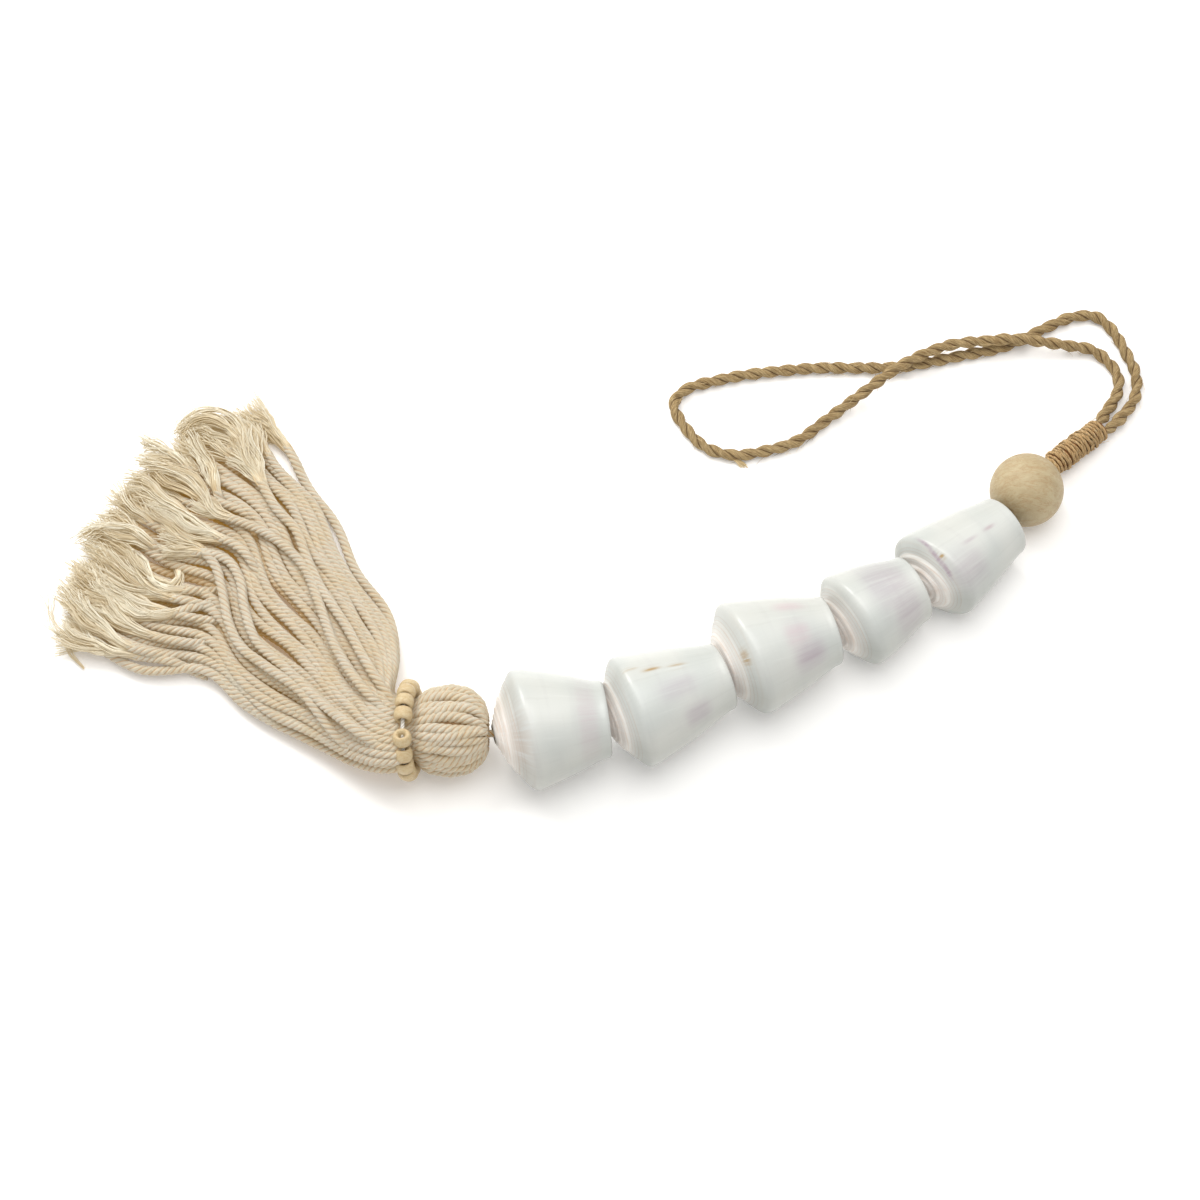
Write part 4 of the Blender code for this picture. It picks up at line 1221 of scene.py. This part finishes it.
def lifted(places, height):
    """Layout places, each at its own height."""
    return np.array([spot(u, v, z) for (u, v), z in zip(places, height)])


def tuft_guides(sizes, laid, rng):
    """Guides of the curls on top of the skirt: their rope parts and their threads."""
    ropes = []
    threads = []
    radius = sizes.strand_radius / MM
    for number, (width, share, leaf, places) in enumerate(TUFTS, 101):
        thick = width > THREAD_TUFT
        height = np.full(len(places), 18.0)
        for _ in range(3):
            height = pile_top(lifted(places, height), laid) + (radius if thick else 0.5)
            height = np.maximum(spread(height, 1, np.mean), radius)
        line = curve(lifted(places, height), ROPE_STEP)
        top = pile_top(line, laid)
        rise = spread(spread(top, 4, np.max), 7, np.mean) + radius * 0.5
        run = run_along(line)
        sink = 7.0 * (1.0 - smooth(run / min(34.0, 14.0 + 0.1 * run[-1])))
        line[:, 2] = np.maximum(rise - sink, radius * 0.8)
        if thick:
            keep = int(share * len(line))
            ropes.append(open_tip(line, np.full(len(line), radius), keep, number, sizes))
            threads += fray(line[max(0, keep - 2):], width, leaf, int(50 + 9 * width), radius, rng)
        else:
            threads += fray(line, width, 0, 10, 0.5, rng)
    return ropes, threads


def head_section(along):
    """Centre, side, rise and half sizes of the head at a place along it."""
    table = np.array(HEAD)
    wide, high, cy, cz, lean, square = [np.interp(along, table[:, 0], table[:, k]) for k in range(1, 7)]
    side, rise = lean_frame(NECK_LEAN * lean)
    return np.array(NECK_AT) + np.array((along, cy, cz)), side, rise, wide, high, square


def head_guides(sizes):
    """Guides of the ropes that run over the head from the neck to its tip."""
    guides = []
    count = sizes.head_ropes
    stations = np.concatenate((np.linspace(-3.0, 27.0, 16), (28.6, 30.0, 31.0)))
    for k in range(count):
        line = []
        reach = []
        for along in stations:
            centre, side, rise, wide, high, square = head_section(along)
            turn = 2 * math.pi * (k + 0.22 * chance(k, 21)) / count
            turn += 0.07 * math.sin(along * 0.15 + k * 1.9) * smooth((along - 4.0) / 10.0)
            spacing = math.pi * (wide + high) / count
            r = min(0.63 * spacing, 2.6 * (1.0 + 0.06 * chance(k, 22)))
            sink = 0.6 * (0.5 + 0.5 * chance(k, 23)) * smooth((along - 3.0) / 5.0)
            y, z = oval(turn, wide - r - sink, high - r - sink, square)
            line.append(centre + side * y + rise * z)
            reach.append(max(r, 0.6))
        line, reach = fine_line(np.array(line), np.array(reach), 0.8)
        line[:, 2] = np.maximum(line[:, 2], reach)
        guides.append(Guide(line, reach, sizes.strand_pitch / MM, -1.0,
                            start=chance(k, 24), shade=chance(k, 25)))
    return guides


def head_core():
    """Smooth body that fills the head behind its ropes."""
    rings = []
    for along in np.linspace(-5.0, 31.2, 40):
        centre, side, rise, wide, high, square = head_section(along)
        inset = 3.0 if along > -5.0 else 3.4
        ring = []
        for j in range(40):
            y, z = oval(2 * math.pi * j / 40, max(wide - inset, 0.8), max(high - inset, 0.8), square)
            ring.append(centre + side * y + rise * z)
        rings.append(np.array(ring))
    return skin(rings)


# ---------------------------------------------------------------- neck beads

def ring_point(turn):
    """Place and direction on the neck string's ring."""
    side, rise = lean_frame(NECK_LEAN)
    base = np.array(NECK_AT)
    at = base + side * NECK_RING[0] * math.cos(turn) + rise * NECK_RING[1] * math.sin(turn)
    ahead = unit(-side * NECK_RING[0] * math.sin(turn) + rise * NECK_RING[1] * math.cos(turn))
    return at, ahead


def neck_places():
    """Place and direction of each neck bead, the one after the open string tipped over."""
    turns = np.linspace(0, 2 * math.pi, RING_SAMPLES + 1)
    run = run_along([ring_point(2 * math.pi * k / RING_SAMPLES)[0] for k in range(RING_SAMPLES + 1)])
    total = run[-1]
    open_at = np.interp(NECK_OPEN, turns, run)
    gap = total - (NECK_BEADS - 1) * NECK_BEAD_PITCH
    places = []
    for k in range(NECK_BEADS):
        where = (open_at + gap / 2 + k * NECK_BEAD_PITCH) % total
        at, ahead = ring_point(np.interp(where, run, turns))
        out = unit(at - np.array(NECK_AT))
        tip = 0.08 * chance(k, 31)
        if k == 0:
            tip = -0.75
            at = at + out * 0.9 - ahead * 1.2
        ahead = unit(ahead + out * tip)
        places.append((at, ahead))
    return places


def threaded_bead_tree():
    """Tree that sets a turned bead on each guide point, its hole along the point's aim."""
    nodes, wires = new_tree("threaded_beads", (
        ("Radius", "NodeSocketFloat"), ("Hole", "NodeSocketFloat"),
        ("Half Length", "NodeSocketFloat"), ("Finish", "NodeSocketMaterial")))
    middle = (wires["Radius"] + wires["Hole"]) * 0.5
    wall = (wires["Radius"] - wires["Hole"]) * 0.5
    hoop = nodes.add("GeometryNodeCurvePrimitiveCircle", None, {"Resolution": 32, "Radius": middle})
    section = nodes.add("GeometryNodeCurvePrimitiveCircle", None, {"Resolution": 20, "Radius": 1.0})
    turn = nodes.add("GeometryNodeInputIndex") * (2 * math.pi / 20)
    across = turn.wave()
    upward = (turn - math.pi / 2).wave()
    at = nodes.add("ShaderNodeCombineXYZ", None, {0: across * wall, 1: upward * wires["Half Length"]})
    section = nodes.add("GeometryNodeSetPosition", None, {"Geometry": section, "Position": at})
    bead = nodes.add("GeometryNodeCurveToMesh", None, {"Curve": hoop, "Profile Curve": section})
    bead = nodes.add("GeometryNodeSetShadeSmooth", None, {"Geometry": bead, "Shade Smooth": True})
    aim = nodes.add("GeometryNodeInputNamedAttribute", {"data_type": "FLOAT_VECTOR"}, {"Name": "aim"})
    turned = nodes.add("FunctionNodeAlignRotationToVector", {"axis": "Z"}, {"Vector": aim})
    beads = nodes.add("GeometryNodeInstanceOnPoints", None,
                      {"Points": wires["Guides"], "Instance": bead, "Rotation": turned})
    end_tree(nodes, beads, wires["Finish"])
    return nodes.tree


# ---------------------------------------------------------------- wood bead

def wood_bead_mesh():
    """Bored wood ball with eased edges at its hole."""
    axis = bead_axis()
    side, rise = axis_frame(axis)
    radius = BEAD_R + BEAD_FULLER
    edge = math.asin(BEAD_HOLE / radius)
    mouth = radius * math.cos(edge)
    outline = [(-mouth + 1.6, BEAD_HOLE), (-mouth + 0.5, BEAD_HOLE + 0.05)]
    for turn in np.linspace(math.pi - edge * 1.15, edge * 1.15, 46):
        outline.append((radius * math.cos(turn), radius * math.sin(turn)))
    outline += [(mouth - 0.5, BEAD_HOLE + 0.05), (mouth - 1.6, BEAD_HOLE)]
    turns = full_turn(BEAD_SIDES)
    rings = [round_ring(np.array(BEAD_AT) + axis * along, side, rise, out, out, turns)
             for along, out in outline]
    points, faces = skin(rings, closed_run=True)
    points = points - np.array((0.9, -0.5, points[:, 2].min() + WORN))
    points[:, 2] = np.maximum(points[:, 2], 0.0)
    return make_mesh("bead", points, faces)


# ---------------------------------------------------------------- operators

class TASSEL_OT_stage(Operator):
    """Set the camera, the table and the lights"""

    bl_idname = "tassel.stage"
    bl_label = "Stage"

    def execute(self, context):
        scene = context.scene
        eye = (np.array((0.0, -GRID_FAR * math.cos(GRID_TILT), GRID_FAR * math.sin(GRID_TILT))) + SHIFT) * MM
        lens = bpy.data.cameras.new("camera")
        lens.angle = 2 * math.atan(GRID_MIDDLE / (GRID_FAR / GRID_MM))
        lens.clip_start = 0.05
        camera = bpy.data.objects.new("camera", lens)
        camera.location = eye
        camera.rotation_euler = Vector(SHIFT * MM - eye).to_track_quat("-Z", "Y").to_euler()
        scene.collection.objects.link(camera)
        scene.camera = camera
        scene.view_settings.view_transform = "Standard"
        corners = [(TABLE_HALF * x, TABLE_HALF * y, 0.0) for x, y in ((-1, -1), (1, -1), (1, 1), (-1, 1))]
        table = show(make_mesh("table_top", corners, [(0, 1, 2, 3)]), table_finish())
        world = bpy.data.worlds.new("studio")
        world.use_nodes = True
        background = world.node_tree.nodes["Background"]
        background.inputs["Color"].default_value = (1.0, 0.985, 0.96, 1.0)
        background.inputs["Strength"].default_value = 0.67
        scene.world = world
        for name, place, size, power, colour in (
            ("window", (-0.6, 0.8, 1.1), 0.9, 15.0, (1.0, 0.985, 0.96)),
            ("overhead", (0.2, 0.1, 1.4), 1.2, 9.5, (1.0, 0.99, 0.975)),
        ):
            lamp = bpy.data.lights.new(name, "AREA")
            lamp.shape = "DISK"
            lamp.size = size
            lamp.energy = power
            lamp.color = colour
            holder = bpy.data.objects.new(name, lamp)
            holder.location = place
            holder.rotation_euler = (-Vector(place)).to_track_quat("-Z", "Y").to_euler()
            scene.collection.objects.link(holder)
        return {"FINISHED"}


class TASSEL_OT_rope_loop(Operator):
    """Lay the grass rope loop with its stray fibres"""

    bl_idname = "tassel.rope_loop"
    bl_label = "Rope loop"

    def execute(self, context):
        sizes = context.scene.tassel_sizes
        colours = context.scene.tassel_colours
        path = rope_way(0.6)
        run = run_along(path)
        from_end = np.minimum(run, run[-1] - run) - TAIL_DEPTH
        radius = TAIL_R + (ROPE_R - TAIL_R) * smooth(from_end / 5.0)
        radius = radius * (1.0 + 0.10 * np.exp(-((from_end - 9.0) / 6.0) ** 2))
        radius = 0.94 * radius * (1.0 + 0.03 * np.sin(run * 0.55) + 0.02 * np.sin(run * 1.3 + 1.0))
        guide = Guide(path, radius, sizes.rope_pitch / MM)
        rope = lay_cords("rope", [guide], GRASS_LAY, seagrass_finish(colours))
        finish_piece(rope, "seagrass", "rope_loop")
        rng = np.random.default_rng(5)
        loose = stray_fibres(path[20:-20], 210, 2.1, 6.5, rng)
        for _ in range(10):
            start = spot(731 + 3.0 * rng.uniform(-1, 1), 456, 1.8)
            end = spot(744 + 4.0 * rng.uniform(-1, 1), 466 + 2.0 * rng.uniform(-1, 1), 0.4)
            middle = start * 0.4 + end * 0.6 + np.array((0.0, 0.0, 0.8))
            loose.append(Guide(curve((start, middle, end), 2.0), 0.2, shade=1.0))
        hairs = lay_cords("rope_hairs", loose, FIBRE_LAY, hair_finish(colours))
        finish_piece(hairs, "seagrass")
        placed = (rope_way(2.0) + SHIFT) * MM
        return {"FINISHED"}


class TASSEL_OT_core_cord(Operator):
    """Lay the cord that the shells and beads are strung on"""

    bl_idname = "tassel.core_cord"
    bl_label = "Core cord"

    def execute(self, context):
        path = cord_way()
        spans = [np.linspace(a, b, CURVE_SPLIT, endpoint=False) for a, b in zip(path, path[1:])]
        guide = Guide(np.vstack(spans + [path[-1:]]), CORD_R, CORD_PITCH)
        cotton = cotton_finish(context.scene.tassel_colours, "strung_cotton", 1.6)
        finish_piece(lay_cords("strung_cord", [guide], CORE_LAY, cotton), "string", "core_cord")
        return {"FINISHED"}


class TASSEL_OT_tassel(Operator):
    """Make the rope head and the rope skirt"""

    bl_idname = "tassel.tassel"
    bl_label = "Tassel"

    def execute(self, context):
        sizes = context.scene.tassel_sizes
        cotton = cotton_finish(context.scene.tassel_colours)
        laid = lay_strands(sizes.strand_radius / MM)
        guides, ends = strand_guides(sizes, laid)
        rng = np.random.default_rng(3)
        ropes, curls = tuft_guides(sizes, laid, rng)
        guides += ropes
        third = len(guides) // 3
        parts = (("skirt_lower", guides[:third]), ("skirt_middle", guides[third:2 * third]),
                 ("skirt_upper", guides[2 * third:]))
        for name, part in parts:
            finish_piece(lay_cords(name, part, COTTON_LAY, cotton), "cotton", "tassel")
        finish_piece(lay_cords("head_ropes", head_guides(sizes), COTTON_LAY, cotton), "cotton", "tassel")
        # painted shade: the core behind the head's ropes is a darker tan, so the gaps between them look
        # shaded
        core_shade_cotton = bead_wood_finish("cotton_core", tone(170, 142, 106), tone(144, 114, 80), 0.9, 0.9)
        finish_piece(show(make_mesh("head_core", *head_core()), core_shade_cotton), "cotton", "tassel")
        thread = thread_finish()
        frays = []
        for line, width, leaf in ends:
            frays += fray(line, width, leaf, sizes.threads, sizes.strand_radius / MM, rng)
        half = len(frays) // 2
        some = len(curls) // 2
        for name, part in (("frayed_ends_lower", frays[:half]), ("frayed_ends_upper", frays[half:]),
                           ("loose_curls", curls[:some]), ("loose_tufts", curls[some:])):
            finish_piece(lay_cords(name, part, FIBRE_LAY, thread), "cotton", "tassel")
        return {"FINISHED"}


class TASSEL_OT_neck(Operator):
    """Thread the small beads on their string round the neck"""

    bl_idname = "tassel.neck"
    bl_label = "Neck beads"

    def execute(self, context):
        colours = context.scene.tassel_colours
        places = neck_places()
        mesh = make_mesh("neck_beads", [at for at, ahead in places], [],
                         vectors={"aim": [ahead for at, ahead in places]})
        wood = bead_wood_finish("small_bead_wood", colours.small_bead, colours.small_bead_dark, 0.45, 0.8)
        beads = apply_tree(show(mesh), threaded_bead_tree(), radius=NECK_BEAD_R * MM,
                           hole=NECK_BEAD_HOLE * MM, half_length=NECK_BEAD_HALF * MM, finish=wood)
        finish_piece(beads, "small_bead_wood", *["neck_bead_%02d" % (k + 1) for k in range(NECK_BEADS)])
        # two samples past its start, so that the string's ends lie in each other
        ring = [ring_point(2 * math.pi * k / STRING_SAMPLES)[0] for k in range(STRING_SAMPLES + 2)]
        guide = Guide(ring, NECK_STRING_R, NECK_STRING_PITCH)
        string = lay_cords("bead_string", [guide], STRING_LAY, string_finish(colours))
        finish_piece(string, "string", "neck_string")
        return {"FINISHED"}


class TASSEL_OT_shells(Operator):
    """Make the five cone shells"""

    bl_idname = "tassel.shells"
    bl_label = "Shells"

    def execute(self, context):
        finish = shell_finish(context.scene.tassel_colours)
        for number, row in enumerate(SHELLS, 1):
            finish_piece(show(shell_mesh(number, row), finish), "shell", "shell_%d" % number)
        return {"FINISHED"}


class TASSEL_OT_bead(Operator):
    """Make the wood bead"""

    bl_idname = "tassel.bead"
    bl_label = "Wood bead"

    def execute(self, context):
        colours = context.scene.tassel_colours
        wood = bead_wood_finish("bead_wood", colours.bead, colours.bead_dark, 0.55, 0.28)
        finish_piece(show(wood_bead_mesh(), wood), "bead_wood", "wood_bead")
        return {"FINISHED"}


class TASSEL_OT_whipping(Operator):
    """Wind the raffia round the cord and the rope's tails"""

    bl_idname = "tassel.whipping"
    bl_label = "Whipping"

    def execute(self, context):
        raffia = raffia_finish(context.scene.tassel_colours)
        wound = lay_cords("raffia_wraps", whip_guides(context.scene.tassel_sizes.wraps), RAFFIA_LAY, raffia)
        finish_piece(wound, "twine", "whipping")
        start, end, _, side, rise = whip_frame()
        loose = stray_fibres(np.linspace(start, end, 30), 60, 4.7, 4.5, np.random.default_rng(8))
        finish_piece(lay_cords("raffia_hairs", loose, FIBRE_LAY, raffia), "twine")
        turns = full_turn(WHIP_SIDES)
        rings = [round_ring(start + (end - start) * t, side, rise, *whip_section(t, 0.9), turns)
                 for t in np.linspace(0.01, 0.99, 5)]
        # painted shade: the core under the wraps is dark brown, so the gaps between the turns look shaded
        core_shade_finish = bead_wood_finish("raffia_core", tone(134, 88, 44), tone(96, 60, 28), 0.8, 0.6)
        finish_piece(show(make_mesh("raffia_core", *skin(rings)), core_shade_finish), "twine", "whipping")
        return {"FINISHED"}


class TASSEL_PT_panel(Panel):
    """Lists the tassel's steps, sizes and colours"""

    bl_label = "Shell tassel"
    bl_idname = "TASSEL_PT_panel"
    bl_space_type = "VIEW_3D"
    bl_region_type = "UI"
    bl_category = "Tassel"

    def draw(self, context):
        for step in STEPS:
            self.layout.operator(step.bl_idname)
        for group in (context.scene.tassel_sizes, context.scene.tassel_colours):
            for name in group.__annotations__:
                self.layout.prop(group, name)


STEPS = (TASSEL_OT_stage, TASSEL_OT_rope_loop, TASSEL_OT_core_cord, TASSEL_OT_whipping, TASSEL_OT_bead,
         TASSEL_OT_shells, TASSEL_OT_neck, TASSEL_OT_tassel)
CLASSES = (TasselSizes, TasselColours) + STEPS + (TASSEL_PT_panel,)


def register():
    """Register the classes and their settings."""
    for made in CLASSES:
        bpy.utils.register_class(made)
    bpy.types.Scene.tassel_sizes = PointerProperty(type=TasselSizes)
    bpy.types.Scene.tassel_colours = PointerProperty(type=TasselColours)


def unregister():
    """Take the classes and their settings away."""
    del bpy.types.Scene.tassel_colours
    del bpy.types.Scene.tassel_sizes
    for made in reversed(CLASSES):
        bpy.utils.unregister_class(made)


def main():
    """Make every piece in order."""
    register()
    bpy.ops.tassel.stage()
    bpy.ops.tassel.rope_loop()
    bpy.ops.tassel.core_cord()
    bpy.ops.tassel.whipping()
    bpy.ops.tassel.bead()
    bpy.ops.tassel.shells()
    bpy.ops.tassel.neck()
    bpy.ops.tassel.tassel()


if __name__ == "__main__":
    main()
